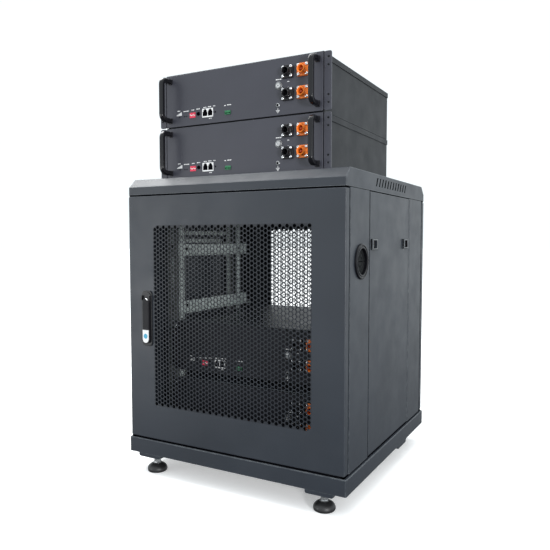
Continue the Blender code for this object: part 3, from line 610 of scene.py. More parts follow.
def foot_mesh():
    """A rubber dome with a washer, a nut and a threaded stem."""
    dome = [(0, 0), (20, 0), (23.4, 0.6), (24.9, 2.2), (25.5, 5.0), (25.3, 8.0), (24.2, 11.4), (21.8, 14.6)]
    dome += [(18.2, 17.6), (14.0, 19.9), (11.2, 21.0), (10.4, 21.6), (0, 21.6)]
    washer = [(0, 21.2), (10.2, 21.2), (10.6, 21.7), (10.6, 22.8), (10.0, 23.3), (0, 23.3)]
    nut = [(0, 23), (8.9, 23.0), (9.4, 23.6), (9.4, 30.4), (8.9, 31.0), (0, 31.0)]
    stem = [(0, 30), (4.8, 30)]
    for turn in range(THREAD_TURNS):
        low = 30.6 + turn * THREAD_PITCH
        stem += [(4.6, low), (5.3, low + THREAD_PITCH / 2)]
    stem += [(4.6, 42.6), (0, 42.6)]
    part = bmesh.new()
    for profile, sides, material in ((dome, 64, 0), (washer, 48, 1), (nut, 6, 1), (stem, 32, 1)):
        merge(part, turned(profile, sides), material, UPWARD)
    return mesh_of("foot", part, [RUBBER, STEEL])


def make_feet():
    mesh = foot_mesh()
    for end in ENDS:
        for side in SIDES:
            node = f"foot_{end}_{side}"
            low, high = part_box(node)
            centre = (low + high) / 2
            piece(f"levelling_{end}_{side}", mesh, node, "foot_rubber", [node], (centre.x, centre.y, 0))


def membrane_quarter(quarter):
    """The outline of one of the four leaves between the membrane's slits."""
    start = math.pi / 2 * quarter
    leaf = [(MEMBRANE_SLIT, MEMBRANE_SLIT)]
    for step in range(13):
        angle = math.radians(2.2 + 85.6 * step / 12)
        leaf.append((MEMBRANE_RADIUS * math.cos(angle), MEMBRANE_RADIUS * math.sin(angle)))
    cos, sin = math.cos(start), math.sin(start)
    return exactly([(x * cos - z * sin, x * sin + z * cos) for x, z in leaf])


def make_cable_port():
    """A moulded ring with a slit rubber membrane and two round ribs on it."""
    low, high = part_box("cable_port")
    centre = (low + high) / 2
    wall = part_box("side_frame_right")[1].x
    ring = [(29, -10), (31.5, -10), (31.5, 0.3), (40, 0.3), (40, 2.2), (39.4, 3.6), (38.0, 4.4), (36.4, 4.3)]
    ring += [(35.0, 3.0), (33.6, 2.9), (32.4, 4.2), (31.0, 4.5), (29.7, 4.0), (29, 2.6)]
    part = bmesh.new()
    merge(part, turned(ring, 64, closed=True), 0, FACING_RIGHT)
    for quarter in range(4):
        merge(part, plate(membrane_quarter(quarter), [], 2.4 * MM, 4.0 * MM, 0.0, 1), 1, FACING_RIGHT)
    for radius in (21, 12):
        rib = [(radius - 0.9, -2.5), (radius + 0.9, -2.5), (radius + 0.5, -1.2), (radius - 0.5, -1.2)]
        merge(part, turned(rib, 48, closed=True), 1, FACING_RIGHT)
    mesh = mesh_of("port", part, [PORT_BLACK, MEMBRANE])
    piece("port_ring", mesh, "cabinet", "black_plastic", ["cable_port"], (wall, centre.y, centre.z))


make_feet()
make_cable_port()


# ---------------- painted gap shade and side trim

GAP = 0.1 * MM
GAP_SHADE_INSET = 1.5 * MM
SEAM_X = (274.5 * MM, 276.5 * MM)
VENTS = 12
VENT_FIRST = -111 * MM
VENT_STEP = 20.4 * MM
VENT_RISE = 11.5 * MM
VENT_TALL = 20.5 * MM
VENT_LEAN = 4.75 * MM
VENT_SHADE_HALF = 4 * MM
VENT_SHADE_SHORT = 0.4 * MM
TRIM_DEPTH = 6 * MM
LATCH_WINDOWS = {"front": -121 * MM, "rear": 125 * MM}
BEZEL = (14.2 * MM, 11.4 * MM)  # this and the next three are half widths and half heights
WINDOW = (12.3 * MM, 9.6 * MM)
SLEEVE = (20.2 * MM, 13.4 * MM)
SLEEVE_INNER = (19.6 * MM, 12.8 * MM)


def make_gap_shade():
    """Dark blocks in the gaps over and under the doors and side panels, and in the doors' upright seams:
    painted shade in the gaps.
    """
    base_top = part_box("base_frame")[1].z
    roof_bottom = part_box("top_cover")[0].z
    shell_low, shell_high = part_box("side_frame_right")
    half = shell_high.x - GAP_SHADE_INSET
    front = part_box("front_door")[0].y + GAP_SHADE_INSET
    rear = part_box("rear_door")[1].y - GAP_SHADE_INSET
    part = bmesh.new()
    gaps = ((base_top + GAP, shell_low.z - GAP, 0.0), (shell_high.z + GAP, roof_bottom - GAP, 1.9 * MM))
    for low, high, lowered in gaps:
        for start, end in ((front, front + 10 * MM), (rear - 10 * MM, rear)):
            merge(part, soft_box((-half, start, low - lowered), (half, end, high), 0.1 * MM, 1))
        for start, end in ((-half, -half + 8 * MM), (half - 8 * MM, half)):
            merge(part, soft_box((start, front, low), (end, rear, high), 0.1 * MM, 1))
    seams = (
        (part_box("front_door")[1].y - 6 * MM, shell_low.y - GAP),
        (shell_high.y + GAP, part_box("rear_door")[0].y + 6 * MM),
    )
    near, far = SEAM_X
    for start, end in seams:
        for left, right in ((-far, -near), (near, far)):
            corners = ((left, start, shell_low.z), (right, end, shell_high.z - 2 * MM))
            merge(part, soft_box(*corners, 0.1 * MM, 1))
    piece("gap_shade", mesh_of("gap_shade_mesh", part, [DARK]), "cabinet", "black_plastic")


def make_vent_shade():
    """Dark strips just inside the roof's slanted vents, painted shade in the slots."""
    roof_low, roof_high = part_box("top_cover")
    middle_y = (roof_low.y + roof_high.y) / 2
    bottom = roof_low.z + VENT_RISE + VENT_SHADE_SHORT
    top = roof_low.z + VENT_RISE + (VENT_TALL - VENT_SHADE_SHORT)
    near, far = roof_high.x - 1.2 * MM, roof_high.x - 0.35 * MM
    part = bmesh.new()
    for number in range(VENTS):
        y = middle_y + VENT_FIRST + number * VENT_STEP
        low, high = y - VENT_LEAN, y + VENT_LEAN
        flat = [(low - VENT_SHADE_HALF, bottom), (low + VENT_SHADE_HALF, bottom)]
        flat += [(high + VENT_SHADE_HALF, top), (high - VENT_SHADE_HALF, top)]
        for start, end in ((-far, -near), (near, far)):
            merge(part, plate(exactly(flat), [], start, end, 0.0, 1), 0, FACING_RIGHT)
    piece("vent_shade", mesh_of("vent_shade_mesh", part, [DARK]), "cabinet", "black_plastic")


def make_strip(name, side, sunk, start, end, material, slot):
    """A strip as tall as the side panel, from start to end in Y, sunk a little under the side's face."""
    sign = SIGNS[side]
    low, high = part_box(f"side_panel_{side}")
    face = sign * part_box("side_frame_right")[1].x
    left, right = sorted((face - sign * sunk, face - sign * TRIM_DEPTH))
    part = bmesh.new()
    merge(part, soft_box((left, start, low.z), (right, end, high.z), 0.2 * MM, 1))
    piece(f"{name}_{side}", mesh_of(name, part, [material]), "cabinet", slot)


def make_latch_trim(side):
    """A frame round each latch window of a side panel, and a dark sleeve behind it as painted shade inside
    the window.
    """
    low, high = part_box(f"side_panel_{side}")
    front = -abs(high.x if side == "right" else low.x) - 0.4 * MM
    turn = FACING_RIGHT if side == "right" else FACING_LEFT @ Matrix.Diagonal((-1, 1, 1, 1))
    part = bmesh.new()
    for end in ENDS:
        knob_low, knob_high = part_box(f"side_latch_{side}_{end}")
        z = (knob_low.z + knob_high.z) / 2
        y = LATCH_WINDOWS[end]
        bezel = framed(y, z, *BEZEL, 2.4 * MM)
        window = framed(y, z, *WINDOW, 1.2 * MM, 2)
        sleeve = framed(y, z, *SLEEVE, 1.2 * MM, 2)
        inner = framed(y, z, *SLEEVE_INNER, 1.0 * MM, 2)
        merge(part, plate(bezel, [window], front, front + 1.2 * MM, 0.4 * MM), 0, turn)
        merge(part, plate(sleeve, [inner], front + 1.4 * MM, front + 4.2 * MM, 0.0, 1), 1, turn)
    mesh = mesh_of("latch_trim", part, [TRIM, DARK])
    piece(f"latch_trim_{side}", mesh, f"side_panel_{side}", "black_plastic")


def make_side_trim():
    """A dark strip in the gap before each side panel as painted shade, the painted return behind it, and its
    latch frames.
    """
    for side in SIDES:
        low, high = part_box(f"side_panel_{side}")
        before = (low.y - 5.2 * MM, low.y - 0.3 * MM)
        behind = (high.y + 0.3 * MM, high.y + 5.9 * MM)
        make_strip("gap_shade_strip", side, 1.2 * MM, *before, DARK, "black_plastic")
        make_strip("rear_return", side, 0.9 * MM, *behind, PAINT, "cabinet_paint")
        make_latch_trim(side)


def make_rear_edge_highlight():
    """A bright strip on the folded edge of each rear side upright, seen through the doors: a painted
    highlight.
    """
    part = bmesh.new()
    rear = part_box("rear_door")[0].y
    for sign in SIGNS.values():
        left, right = sorted((sign * 276 * MM, sign * 274.4 * MM))
        corners = ((left, rear - 6.8 * MM, 120 * MM), (right, rear - 5 * MM, 700 * MM))
        merge(part, soft_box(*corners, 0.2 * MM, 1))
    piece("rear_edge_highlights", mesh_of("rear_edge_highlights", part, [GALVANISED]), "cabinet", "galvanised")


make_gap_shade()
make_vent_shade()
make_side_trim()
make_rear_edge_highlight()


# ---------------- rack posts, rails and panel ribs

UNITS = 15
UNIT = 44.45 * MM
HOLE_STEPS = (6.35 * MM, 22.225 * MM, 38.1 * MM)
SQUARE = 9.5 * MM
SHEET = 2 * MM
POST_END = 8 * MM
RACK_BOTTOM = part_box("module_4_case")[0].z
RIBS = ((599 * MM, 105 * MM), (622 * MM, 140 * MM))  # each rib's height and its rear end
RIB_FRONT = -72 * MM
RIB_HALF = 6 * MM


def make_posts():
    """Folded zinc posts with square holes in their faces and slots in their flanges, the faces in a darker
    zinc as painted shade.
    """
    for end in ENDS:
        for side in SIDES:
            node = f"rack_post_{end}_{side}"
            low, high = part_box(node)
            inward = 1 if end == "front" else -1
            face = low.y if inward > 0 else high.y
            middle = (low.x + high.x) / 2
            spots = [RACK_BOTTOM + unit * UNIT + step for unit in range(UNITS) for step in HOLE_STEPS]
            spots = [z for z in spots if low.z + POST_END < z < high.z - POST_END]
            part = bmesh.new()
            outline = rounded((low.x, low.z), (high.x, high.z), 0.4 * MM, 1)
            holes = [framed(middle, z, SQUARE / 2, SQUARE / 2, 0.4 * MM, 1) for z in spots]
            merge(part, plate(outline, holes, face, face + inward * SHEET, 0.3 * MM, 2), 1)
            flange = rounded((low.y + 0.1 * MM, low.z), (high.y - 0.1 * MM, high.z), 0.4 * MM, 1)
            depth = (low.y + high.y) / 2 + inward * 2 * MM
            slots = [framed(depth, z, 4 * MM, 2.5 * MM, 2.4 * MM) for z in spots[1::3]]
            for x in (low.x, high.x - SHEET):
                merge(part, plate(flange, slots, -x - SHEET, -x, 0.3 * MM, 2), 0, FACING_RIGHT)
            mesh = mesh_of(f"post_{end}_{side}", part, [GALVANISED, POST_FACE_SHADE])
            piece(f"post_{end}_{side}", mesh, "cabinet", "galvanised", [node])


def make_rails():
    """Angle rails of the empty places, each with a ledge, a web and two bolts."""
    for level in ("lower", "upper"):
        for side in SIDES:
            node = f"support_rail_{level}_{side}"
            low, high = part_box(node)
            outward = SIGNS[side]
            wall = low.x if outward < 0 else high.x - SHEET
            part = bmesh.new()
            web = rounded((low.y, low.z), (high.y, high.z - 6 * MM), 2 * MM, 2)
            merge(part, plate(web, [], -wall - SHEET, -wall, 0.3 * MM, 2), 0, FACING_RIGHT)
            turn = Matrix.Rotation(outward * -math.pi / 2, 4, "Z")
            inside = wall + SHEET if outward < 0 else wall
            for y in (low.y + 34 * MM, high.y - 43 * MM):
                bolt = moved(inside - outward * 0.1 * MM, y, low.z + 18 * MM) @ turn
                merge(part, screw(4.0 * MM, 2.0 * MM), 1, bolt)
            ledge = ((low.x, low.y, low.z), (high.x, high.y, low.z + SHEET))
            merge(part, soft_box(*ledge, 0.5 * MM))
            mesh = mesh_of(f"rail_{level}_{side}", part, [GALVANISED, DARK])
            piece(f"rail_{level}_{side}", mesh, "cabinet", "galvanised", [node])


def make_panel_ribs():
    """Two folded stiffening ribs on the inner face of each lift-out side panel."""
    for side, sign in SIGNS.items():
        low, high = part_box(f"side_panel_{side}")
        outside = low.x if sign < 0 else high.x
        left, right = sorted((outside - sign * 8 * MM, outside - sign * 21 * MM))
        part = bmesh.new()
        for z, end in RIBS:
            merge(part, soft_box((left, RIB_FRONT, z - RIB_HALF), (right, end, z + RIB_HALF), 1 * MM))
        piece(f"panel_ribs_{side}", mesh_of("ribs", part, [GALVANISED]), f"side_panel_{side}", "galvanised")


make_posts()
make_rails()
make_panel_ribs()


# ---------------- battery module fronts

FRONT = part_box("module_4_front_panel")[0].y
EAR_SPLIT = 222.2 * MM
EAR_HALF = 241.3 * MM
EAR_GAP = 1.1 * MM
EAR_HOLE_X = 233.5 * MM
EAR_HOLES_Z = (18 * MM, 35 * MM, 100 * MM, 117.5 * MM)
PANEL_TOP = 130.8 * MM
PANEL_THICK = 3 * MM
BACKING = 2.9 * MM
TERMINALS_X = (132.2 * MM, 171.7 * MM)
TERMINALS_Z = (46.7 * MM, 97.2 * MM)
FLANGE = 29 * MM
SCREW_STEP = 10.2 * MM
BUTTON = (108.8 * MM, 68.5 * MM)
STUD = (106.2 * MM, 24.2 * MM)
HANDLE_X = 208 * MM
HANDLE_Z = 17 * MM
HANDLE_SPAN = 99 * MM
HANDLE_OUT = 41.4 * MM
HANDLE_HALF = 6.2 * MM
HANDLE_BEND = 13 * MM


def face_mesh(paint):
    """The middle of the front panel, with holes for the terminals and the button."""
    outline = rounded((-EAR_SPLIT + EAR_GAP, 0.8 * MM), (EAR_SPLIT - EAR_GAP, PANEL_TOP), 0.8 * MM, 2)
    holes = [circle((x, z), 9.5 * MM, 32) for x in TERMINALS_X for z in TERMINALS_Z]
    holes.append(circle(BUTTON, 7.6 * MM, 32))
    part = bmesh.new()
    merge(part, plate(outline, holes, 0, PANEL_THICK, 0.9 * MM))
    return mesh_of("face", part, [paint])


def ears_mesh(paint):
    """A bracket at each end, set off from the panel by a thin joint, with dark blocks behind the joints and
    along the panel's top and bottom as painted shade in the gaps.
    """
    part = bmesh.new()
    for sign in SIGNS.values():
        near, far = sorted((sign * (EAR_SPLIT + EAR_GAP), sign * EAR_HALF))
        holes = [framed(sign * EAR_HOLE_X, z, 2.9 * MM, 2.4 * MM, 2.3 * MM, 4) for z in EAR_HOLES_Z]
        outline = rounded((near, 0.3 * MM), (far, PANEL_TOP), 4.4 * MM, 4)
        merge(part, plate(outline, holes, 0, PANEL_THICK, 0.7 * MM))
        backing = ((near + 2 * MM, 6 * MM), (far - 2 * MM, PANEL_TOP - 6 * MM))
        merge(part, slab(*backing, 2.4 * MM, BACKING, 0.2 * MM), 2)
    # Dark blocks behind the gaps: painted shade.
    for low, high in ((0.1 * MM, 2 * MM), (PANEL_TOP - 1 * MM, PANEL_TOP + 1.1 * MM)):
        merge(part, slab((-EAR_SPLIT, low), (EAR_SPLIT, high), 1.6 * MM, BACKING, 0.2 * MM, 1), 1)
    for sign in SIGNS.values():
        low, high = sorted((sign * (EAR_SPLIT - 1.5 * MM), sign * (EAR_SPLIT + 1.5 * MM)))
        merge(part, slab((low, 1 * MM), (high, PANEL_TOP - 1 * MM), 2.0 * MM, BACKING, 0.2 * MM), 1)
    return mesh_of("ears", part, [paint, DARK, CASE])


def handle_mesh():
    """A rounded bar bent out from the panel, with a plate at each foot. Measured from its lower foot."""
    near = -HANDLE_OUT + HANDLE_HALF
    quarter = [math.pi / 2 * step / 8 for step in range(9)]
    bend = [(HANDLE_BEND * math.sin(a), HANDLE_BEND * math.cos(a)) for a in quarter]
    lower = [(0, near + HANDLE_BEND - y, HANDLE_BEND - z) for y, z in bend]
    upper = [(x, y, HANDLE_SPAN - z) for x, y, z in reversed(lower)]
    path = [(0, -0.3 * MM, 0), *lower, *upper, (0, -0.3 * MM, HANDLE_SPAN)]
    part = bmesh.new()
    merge(part, bar_along(path, HANDLE_HALF, HANDLE_HALF))
    for z in (0, HANDLE_SPAN):
        merge(part, plate(framed(0, z, 6.4 * MM, 7.4 * MM, 3 * MM, 4), [], -2.2 * MM, -0.2 * MM, 0.8 * MM))
    return mesh_of("handle", part, [GLOSS_BLACK])


def sockets_mesh(x, body, inside):
    """Two square-flanged round sockets, one above the other, their floor and pin in a darker colour as
    painted shade inside.
    """
    half = FLANGE / 2
    shell = [(6.4, -3.5), (6.4, 14.6), (7.0, 16.0), (8.0, 16.8), (9.0, 16.4), (9.6, 15.0), (9.6, 10.0)]
    shell += [(8.6, 9.6), (8.6, 8.0), (9.6, 7.6), (9.6, 6.0), (10.4, 5.4), (11.0, 4.4), (6.4, 4.2)]
    bottom = [(0, 2.0), (6.6, 2.0), (6.6, 2.6), (0, 2.6)]
    pin = [(0, 3.0), (2.6, 3.0), (2.6, 11.2), (2.0, 12.0), (0, 12.0)]
    part = bmesh.new()
    for z in TERMINALS_Z:
        hole = circle((x, z), 6.6 * MM, 32)
        merge(part, plate(framed(x, z, half, half, 3.2 * MM, 4), [hole], -4.8 * MM, -0.3 * MM, 0.8 * MM))
        merge(part, turned(shell, 40, closed=True), 0, moved(x, 0, z))
        merge(part, turned(bottom, 32), 1, moved(x, 0, z))
        merge(part, turned(pin, 24), 1, moved(x, 0, z))
        catch = ((x - 3.4 * MM, z + 8.8 * MM), (x + 3.4 * MM, z + 11.4 * MM))
        merge(part, slab(*catch, -14.5 * MM, -5.0 * MM, 0.8 * MM))
    return mesh_of("sockets", part, [body, inside])


def screws_mesh():
    """Four bright screws in each socket's flange."""
    part = bmesh.new()
    for x in TERMINALS_X:
        for z in TERMINALS_Z:
            for dx in (-SCREW_STEP, SCREW_STEP):
                for dz in (-SCREW_STEP, SCREW_STEP):
                    merge(part, screw(3.9 * MM, 2.6 * MM), 0, moved(x + dx, -4.7 * MM, z + dz))
    return mesh_of("screws", part, [STEEL])


def steel_mesh():
    """The button's ring and the earthing stud with its washer."""
    ring = [(7.6, 0), (9.0, 0), (9.0, 1.4), (8.5, 2.0), (7.9, 2.0), (7.6, 1.6)]
    washer = [(3.0, 0), (5.2, 0), (5.2, 0.8), (4.6, 1.4), (3.6, 2.2), (3.0, 2.2)]
    part = bmesh.new()
    merge(part, turned(ring, 48, closed=True), 0, moved(BUTTON[0], 0, BUTTON[1]))
    merge(part, turned(washer, 32, closed=True), 0, moved(STUD[0], 0, STUD[1]))
    merge(part, screw(2.9 * MM, 1.2 * MM), 1, moved(STUD[0], 0, STUD[1]))
    return mesh_of("trim_steel", part, [BRUSHED, DARK])


def button_mesh():
    """A metal push cap with a ring and bar sign in relief, measured from its face hole."""
    cap = [(0, 4.5), (5.6, 4.5), (6.6, 4.2), (7.1, 3.5), (7.1, -12), (0, -12)]
    sign = [(3.2, 4.4), (4.1, 4.4), (4.1, 4.75), (3.2, 4.75)]
    part = bmesh.new()
    merge(part, turned(cap, 48))
    merge(part, turned(sign, 36, closed=True), 1)
    merge(part, slab((-0.5 * MM, 0.6 * MM), (0.5 * MM, 4.6 * MM), -4.75 * MM, -4.4 * MM, 0.05 * MM, 1), 1)
    return mesh_of("button", part, [BRUSHED, WHITE])


# ---------------- module marks, sockets and switches

PRINT_OUT = 0.15 * MM
SUNK = 0.1 * MM
BAR_GAP = 1.0 * MM
WORD_TALL = 2.0 * MM
WORDS = (  # x and z of each row of dashes, and the dashes' lengths, in millimetres
    (-182, 40.0, (4.5, 3.0)), (-159, 37.5, (5, 3.5, 6)), (-138, 38.5, (3, 4)), (-121.5, 39.5, (6, 3)),
    (-101, 41.2, (5, 3)), (-87, 41.6, (5, 3.5)), (-73, 42.0, (3, 2)), (-84.6, 13.0, (3.5, 3)),
    (-41, 39.5, (4,)), (-29, 40.2, (5.5, 5)), (108, 83.0, (5, 3.5, 4)),
)
SIGN_X = 133.4 * MM
SWITCH_BLOCK = ((-146.6 * MM, 19 * MM), (-129.6 * MM, 32 * MM))
SWITCHES = 6
SWITCH_STEP = 2.8 * MM
DATA_GUARD = ((-108.4 * MM, 16.4 * MM), (-75.8 * MM, 37.8 * MM))
DATA_INSIDE = ((-107.4 * MM, 17.4 * MM), (-76.8 * MM, 36.8 * MM))
DATA_SOCKETS_X = (-99.9 * MM, -84.3 * MM)
DATA_SOCKETS_Z = 27.0 * MM
JACK = (-121 * MM, 27.5 * MM)
RESET_HOLE = (-70 * MM, 27 * MM)
LAMPS_X = (-179.6 * MM, -164.3 * MM, -157.6 * MM)
LAMPS_Z = 24.6 * MM
TERMINAL_BLOCK = ((-40.4 * MM, 17.3 * MM), (-24.6 * MM, 26.3 * MM))
POLES = 4
POLE_FIRST = -39.4 * MM
POLE_STEP = 4.1 * MM


def printed(part, low, high):
    """A plain printed patch between two (x, z) corners."""
    merge(part, slab(low, high, -PRINT_OUT, SUNK, 0.05 * MM, 1))


def bars(part, centre, height, lengths):
    """A row of short plain dashes in place of printed words."""
    total = sum(lengths) + BAR_GAP * (len(lengths) - 1)
    x = centre[0] - total / 2
    for length in lengths:
        printed(part, (x, centre[1] - height / 2), (x + length, centre[1] + height / 2))
        x += length + BAR_GAP


def marks_mesh():
    """Plain printed marks: dashes for words, plus and minus, a level sign and an earth sign."""
    part = bmesh.new()
    for x, z, lengths in WORDS:
        bars(part, (x * MM, z * MM), WORD_TALL, [length * MM for length in lengths])
    for step in range(5):
        left = -189 * MM + step * 3.4 * MM
        printed(part, (left, 28 * MM), (left + 2.6 * MM, 30 * MM + step * 1.6 * MM))
    minus, plus = (SIGN_X, 75.4 * MM), (SIGN_X, 60.4 * MM)
    bars(part, minus, 1.3 * MM, [5.2 * MM])
    bars(part, plus, 1.3 * MM, [5.2 * MM])
    bars(part, plus, 5.2 * MM, [1.3 * MM])
    for width, z in ((10.0, 12.4), (6.6, 9.8), (3.2, 7.2)):
        bars(part, (STUD[0], z * MM), 1.2 * MM, [width * MM])
    bars(part, (STUD[0], 15.4 * MM), 4.6 * MM, [1.2 * MM])
    return mesh_of("marks", part, [WHITE])


def tee(x, z):
    """The outline of a data socket's opening: a wide mouth with a notch above it."""
    wide, slim, narrow = 7.1 * MM, 5.4 * MM, 3.1 * MM
    low, high, mid, notch = -7.6 * MM, 3.4 * MM, 7.0 * MM, 9.4 * MM
    half = [(wide, low), (wide, high), (slim, high), (slim, mid), (narrow, mid), (narrow, notch)]
    flat = [(-wide, low), *half, *((-u, v) for u, v in reversed(half[1:]))]
    return exactly([(x + u, z + v) for u, v in flat])


def white_mesh():
    """The pale guard of the two data sockets and the switch block's levers."""
    part = bmesh.new()
    openings = [tee(x, DATA_SOCKETS_Z) for x in DATA_SOCKETS_X]
    merge(part, plate(rounded(*DATA_GUARD, 0.8 * MM, 2), openings, -1.6 * MM, 0.2 * MM, 0.0, 1))
    for step in range(SWITCHES):
        x = SWITCH_BLOCK[0][0] + 1.1 * MM + step * SWITCH_STEP
        low = 23.6 * MM if step % 3 else 25.4 * MM
        merge(part, slab((x, low), (x + 1.8 * MM, low + 2.6 * MM), -1.9 * MM, -0.8 * MM, 0.2 * MM, 1))
    return mesh_of("data_guard", part, [WHITE])


def black_mesh():
    """The round jack, reset hole, indicator lenses and the data sockets' insides; the hole and the insides
    are dark as painted shade.
    """
    jack = [(2.4, 0.2), (4.2, 0.2), (4.2, 1.8), (3.7, 2.4), (2.8, 2.4), (2.4, 2.0)]
    hole = [(0, 0.05), (2.1, 0.05), (2.1, 0.4), (0, 0.4)]
    lens = [(0, 0), (1.5, 0), (1.4, 0.5), (0.9, 0.9), (0, 1.0)]
    part = bmesh.new()
    merge(part, turned(jack, 32, closed=True), 1, moved(JACK[0], 0, JACK[1]))
    merge(part, plate(circle(JACK, 5.0 * MM, 32), [], -0.5 * MM, SUNK, 0.2 * MM), 1)
    merge(part, turned(hole, 24), 1, moved(RESET_HOLE[0], 0, RESET_HOLE[1]))
    for x in LAMPS_X:
        merge(part, turned(lens, 20), 1, moved(x, 0, LAMPS_Z))
    merge(part, slab(*DATA_INSIDE, -0.5 * MM, SUNK, 0.05 * MM, 1), 1)
    return mesh_of("trim_black", part, [BLACK, DARK])


def red_mesh():
    """The switch block, with a window for each lever."""
    first = SWITCH_BLOCK[0][0] + 1 * MM
    spots = [first + step * SWITCH_STEP for step in range(SWITCHES)]
    windows = [rounded((x, 22.4 * MM), (x + 2 * MM, 28.8 * MM), 0.2 * MM, 1) for x in spots]
    part = bmesh.new()
    merge(part, plate(rounded(*SWITCH_BLOCK, 0.8 * MM, 2), windows, -1.6 * MM, -0.8 * MM, 0.1 * MM, 1))
    merge(part, slab(*SWITCH_BLOCK, -0.9 * MM, SUNK, 0.2 * MM, 1))
    return mesh_of("trim_red", part, [RED])


def green_mesh():
    """A four-pole plug-in terminal block, each pole with a mouth and a screw hole over it, and a dark block
    behind that fills them with painted shade.
    """
    poles = [POLE_FIRST + step * POLE_STEP for step in range(POLES)]
    mouths = [rounded((x - 0.9 * MM, 18.4 * MM), (x + 2.1 * MM, 22.6 * MM), 0.3 * MM, 1) for x in poles]
    screws = [circle((x + 0.6 * MM, 24.6 * MM), 0.8 * MM, 12) for x in poles]
    outline = rounded(*TERMINAL_BLOCK, 0.7 * MM, 2)
    part = bmesh.new()
    merge(part, plate(outline, mouths + screws, -2.6 * MM, -1.0 * MM, 0.15 * MM, 1))
    merge(part, slab(*TERMINAL_BLOCK, -1.1 * MM, SUNK, 0.2 * MM, 1), 1)
    return mesh_of("trim_green", part, [GREEN, DARK])


# ---------------- module screws and assembly

SCREW_ROW = 8 * MM  # below the lid's top
LID_SCREWS_Y = (40 * MM, 164 * MM, 288 * MM, 412 * MM)
LID_SCREWS_X = (-160 * MM, 0.0, 160 * MM)


def lid_screws_mesh(half_width, length, height):
    """Small countersunk screws along both sides and the rear of the lid."""
    head = [(0, 0.05), (0.8, 0.05), (0.9, 0.45), (2.2, 0.4), (2.6, 0.0), (0, 0)]
    row = height - SCREW_ROW
    places = []
    for sign in SIGNS.values():
        turn = Matrix.Rotation(sign * math.pi / 2, 4, "Z")
        places += [moved(sign * half_width, y, row) @ turn for y in LID_SCREWS_Y]
    places += [moved(x, length, row) @ Matrix.Rotation(math.pi, 4, "Z") for x in LID_SCREWS_X]
    part = bmesh.new()
    for place in places:
        merge(part, turned(head, 20), 0, place)
    return mesh_of("lid_screws", part, [BLACK])


def rack_screws_mesh():
    part = bmesh.new()
    for sign in SIGNS.values():
        for z in (EAR_HOLES_Z[0], EAR_HOLES_Z[-1]):
            merge(part, screw(5.0 * MM, 3.2 * MM), 0, moved(sign * EAR_HOLE_X, -0.1 * MM, z))
    return mesh_of("rack_screws", part, [STEEL])


def shared_meshes():
    """The parts that every module has: each one's mesh, its slot and the nodes it stands for."""
    lid_low, lid_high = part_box("module_4_lid")
    half = (lid_high.x - lid_low.x) / 2
    height = lid_high.z - RACK_BOTTOM
    black_x, orange_x = TERMINALS_X
    return {
        "face": (face_mesh(MODULE), "module_paint", ["front_panel"]),
        "ears": (ears_mesh(MODULE), "module_paint", []),
        "sockets_black": (sockets_mesh(black_x, BLACK, DARK), "black_plastic", ["terminals"]),
        "sockets_orange": (sockets_mesh(orange_x, ORANGE, ORANGE_SHADE), "orange_plastic", ["terminals"]),
        "socket_screws": (screws_mesh(), "bright_steel", []),
        "trim_steel": (steel_mesh(), "bright_steel", []),
        "marks": (marks_mesh(), "white_plastic", []),
        "data_guard": (white_mesh(), "white_plastic", []),
        "trim_black": (black_mesh(), "black_plastic", []),
        "trim_red": (red_mesh(), "red_plastic", []),
        "trim_green": (green_mesh(), "green_plastic", []),
        "lid_screws": (lid_screws_mesh(half, lid_high.y - FRONT, height), "black_plastic", []),
    }


def make_modules():
    shared = shared_meshes()
    # The mounted modules' faces and ears take the darker copy of the paint: painted shade inside the
    # cabinet.
    painted_shade_meshes = {"face": face_mesh(PAINTED_SHADE_COAT), "ears": ears_mesh(PAINTED_SHADE_COAT)}
    handle = handle_mesh()
    button = button_mesh()
    rack_screws = rack_screws_mesh()
    for number in NUMBERS:
        low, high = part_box(f"module_{number}_front_panel")
        at = Vector(((low.x + high.x) / 2, low.y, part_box(f"module_{number}_case")[0].z))
        mounted = number > ON_ROOF
        body = "cabinet" if mounted else f"module_{number}"
        for part, (mesh, slot, nodes) in shared.items():
            chosen = painted_shade_meshes.get(part, mesh) if mounted else mesh
            piece(f"m{number}_{part}", chosen, body, slot, [f"module_{number}_{node}" for node in nodes], at)
        for side, sign in SIGNS.items():
            foot = at + Vector((sign * HANDLE_X, 0, HANDLE_Z))
            node = f"module_{number}_handle_{side}"
            piece(f"m{number}_handle_{side}", handle, body, "black_plastic", [node], foot)
        centre = at + Vector((BUTTON[0], 0, BUTTON[1]))
        cap_node = f"module_{number}_power_button"
        piece(f"m{number}_button", button, f"power_button_{number}", "bright_steel", [cap_node], centre)
        if mounted:
            piece(f"m{number}_rack_screws", rack_screws, "cabinet", "bright_steel", [], at)


make_modules()


# ---------------- floor, light and camera

FLOOR_RADIUS = 40.0
FLOOR_GLOW = 0.3
SKY = (0.94, 1.0, 1.03, 1)
CAMERA_AT = (0.7713, -1.4578, 0.6018)
CAMERA_TILT = math.radians(86.625)
CAMERA_TURN = math.radians(28.88)
CAMERA_LENS = 39.106


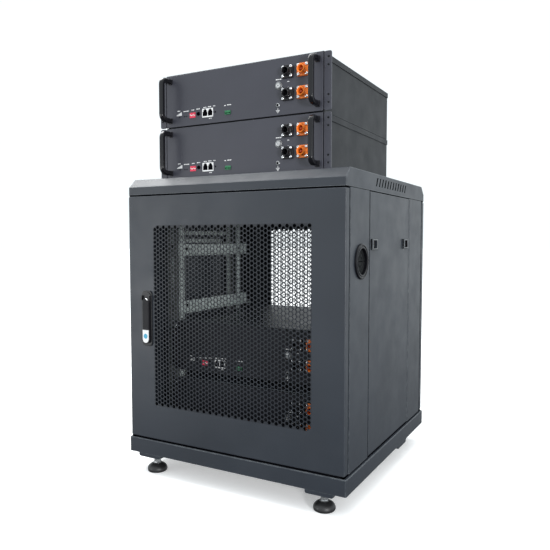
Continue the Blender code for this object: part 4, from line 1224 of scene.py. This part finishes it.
def make_stage():
    """A pale floor that runs out to the horizon, and throws no light back on the object."""
    part = bmesh.new()
    bmesh.ops.create_circle(part, cap_ends=True, segments=96, radius=FLOOR_RADIUS)
    mesh = bpy.data.meshes.new("floor")
    part.to_mesh(mesh)
    part.free()
    pale = surface("pale_floor", (0.97, 0.97, 0.97), 0.9, tint=0.01, grain=40.0, bump=0.02, glow=FLOOR_GLOW)
    mesh.materials.append(pale)
    floor = bpy.data.objects.new("floor", mesh)
    bpy.context.scene.collection.objects.link(floor)
    floor.visible_glossy = False
    floor.visible_diffuse = False
    floor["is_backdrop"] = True


def area_light(name, place, target, size, power):
    data = bpy.data.lights.new(name, "AREA")
    data.shape = "RECTANGLE"
    data.size, data.size_y = size
    data.energy = power
    light = bpy.data.objects.new(name, data)
    light.location = place
    light.rotation_mode = "QUATERNION"
    light.rotation_quaternion = (Vector(target) - Vector(place)).to_track_quat("-Z", "Y")
    bpy.context.scene.collection.objects.link(light)


def make_world():
    """A bright sky that fades below the horizon, so that undersides stay darker."""
    world = bpy.data.worlds.new("studio")
    world.use_nodes = True
    tree = world.node_tree
    around = tree.nodes.new("ShaderNodeTexCoord")
    split = tree.nodes.new("ShaderNodeSeparateXYZ")
    tree.links.new(around.outputs["Generated"], split.inputs[0])
    rise = tree.nodes.new("ShaderNodeMapRange")
    for name, number in (("From Min", -0.36), ("From Max", -0.03), ("To Min", 0.15), ("To Max", 1.07)):
        rise.inputs[name].default_value = number
    tree.links.new(split.outputs["Z"], rise.inputs["Value"])
    background = tree.nodes["Background"]
    tree.links.new(rise.outputs["Result"], background.inputs["Strength"])
    background.inputs["Color"].default_value = SKY
    bpy.context.scene.world = world


def make_lights():
    area_light("over_roof", (-1.75, 0.2, 3.0), (-0.1, -0.2, 0.73), (1.7, 1.6), 62)
    area_light("front_left", (-1.9, -2.1, 0.35), (-0.2, -0.3, 0.35), (1.0, 1.3), 11)
    area_light("front_right", (2.5, -2.2, 0.66), (-0.28, 0, 0.56), (0.4, 0.5), 60)
    area_light("top", (0.2, 0.2, 4.2), (0, 0, 0.5), (3.4, 3.4), 60)


def make_camera():
    data = bpy.data.cameras.new("camera")
    data.sensor_width = 36
    data.lens = CAMERA_LENS
    camera = bpy.data.objects.new("camera", data)
    camera.location = CAMERA_AT
    camera.rotation_euler = (CAMERA_TILT, 0, CAMERA_TURN)
    bpy.context.scene.collection.objects.link(camera)
    bpy.context.scene.camera = camera


make_stage()
make_world()
make_lights()
make_camera()
bpy.context.scene.view_settings.view_transform = "Standard"

boxes = {"cad": cad_box, "visual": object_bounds()}
{name: [list(corner) for corner in box] for name, box in boxes.items()}
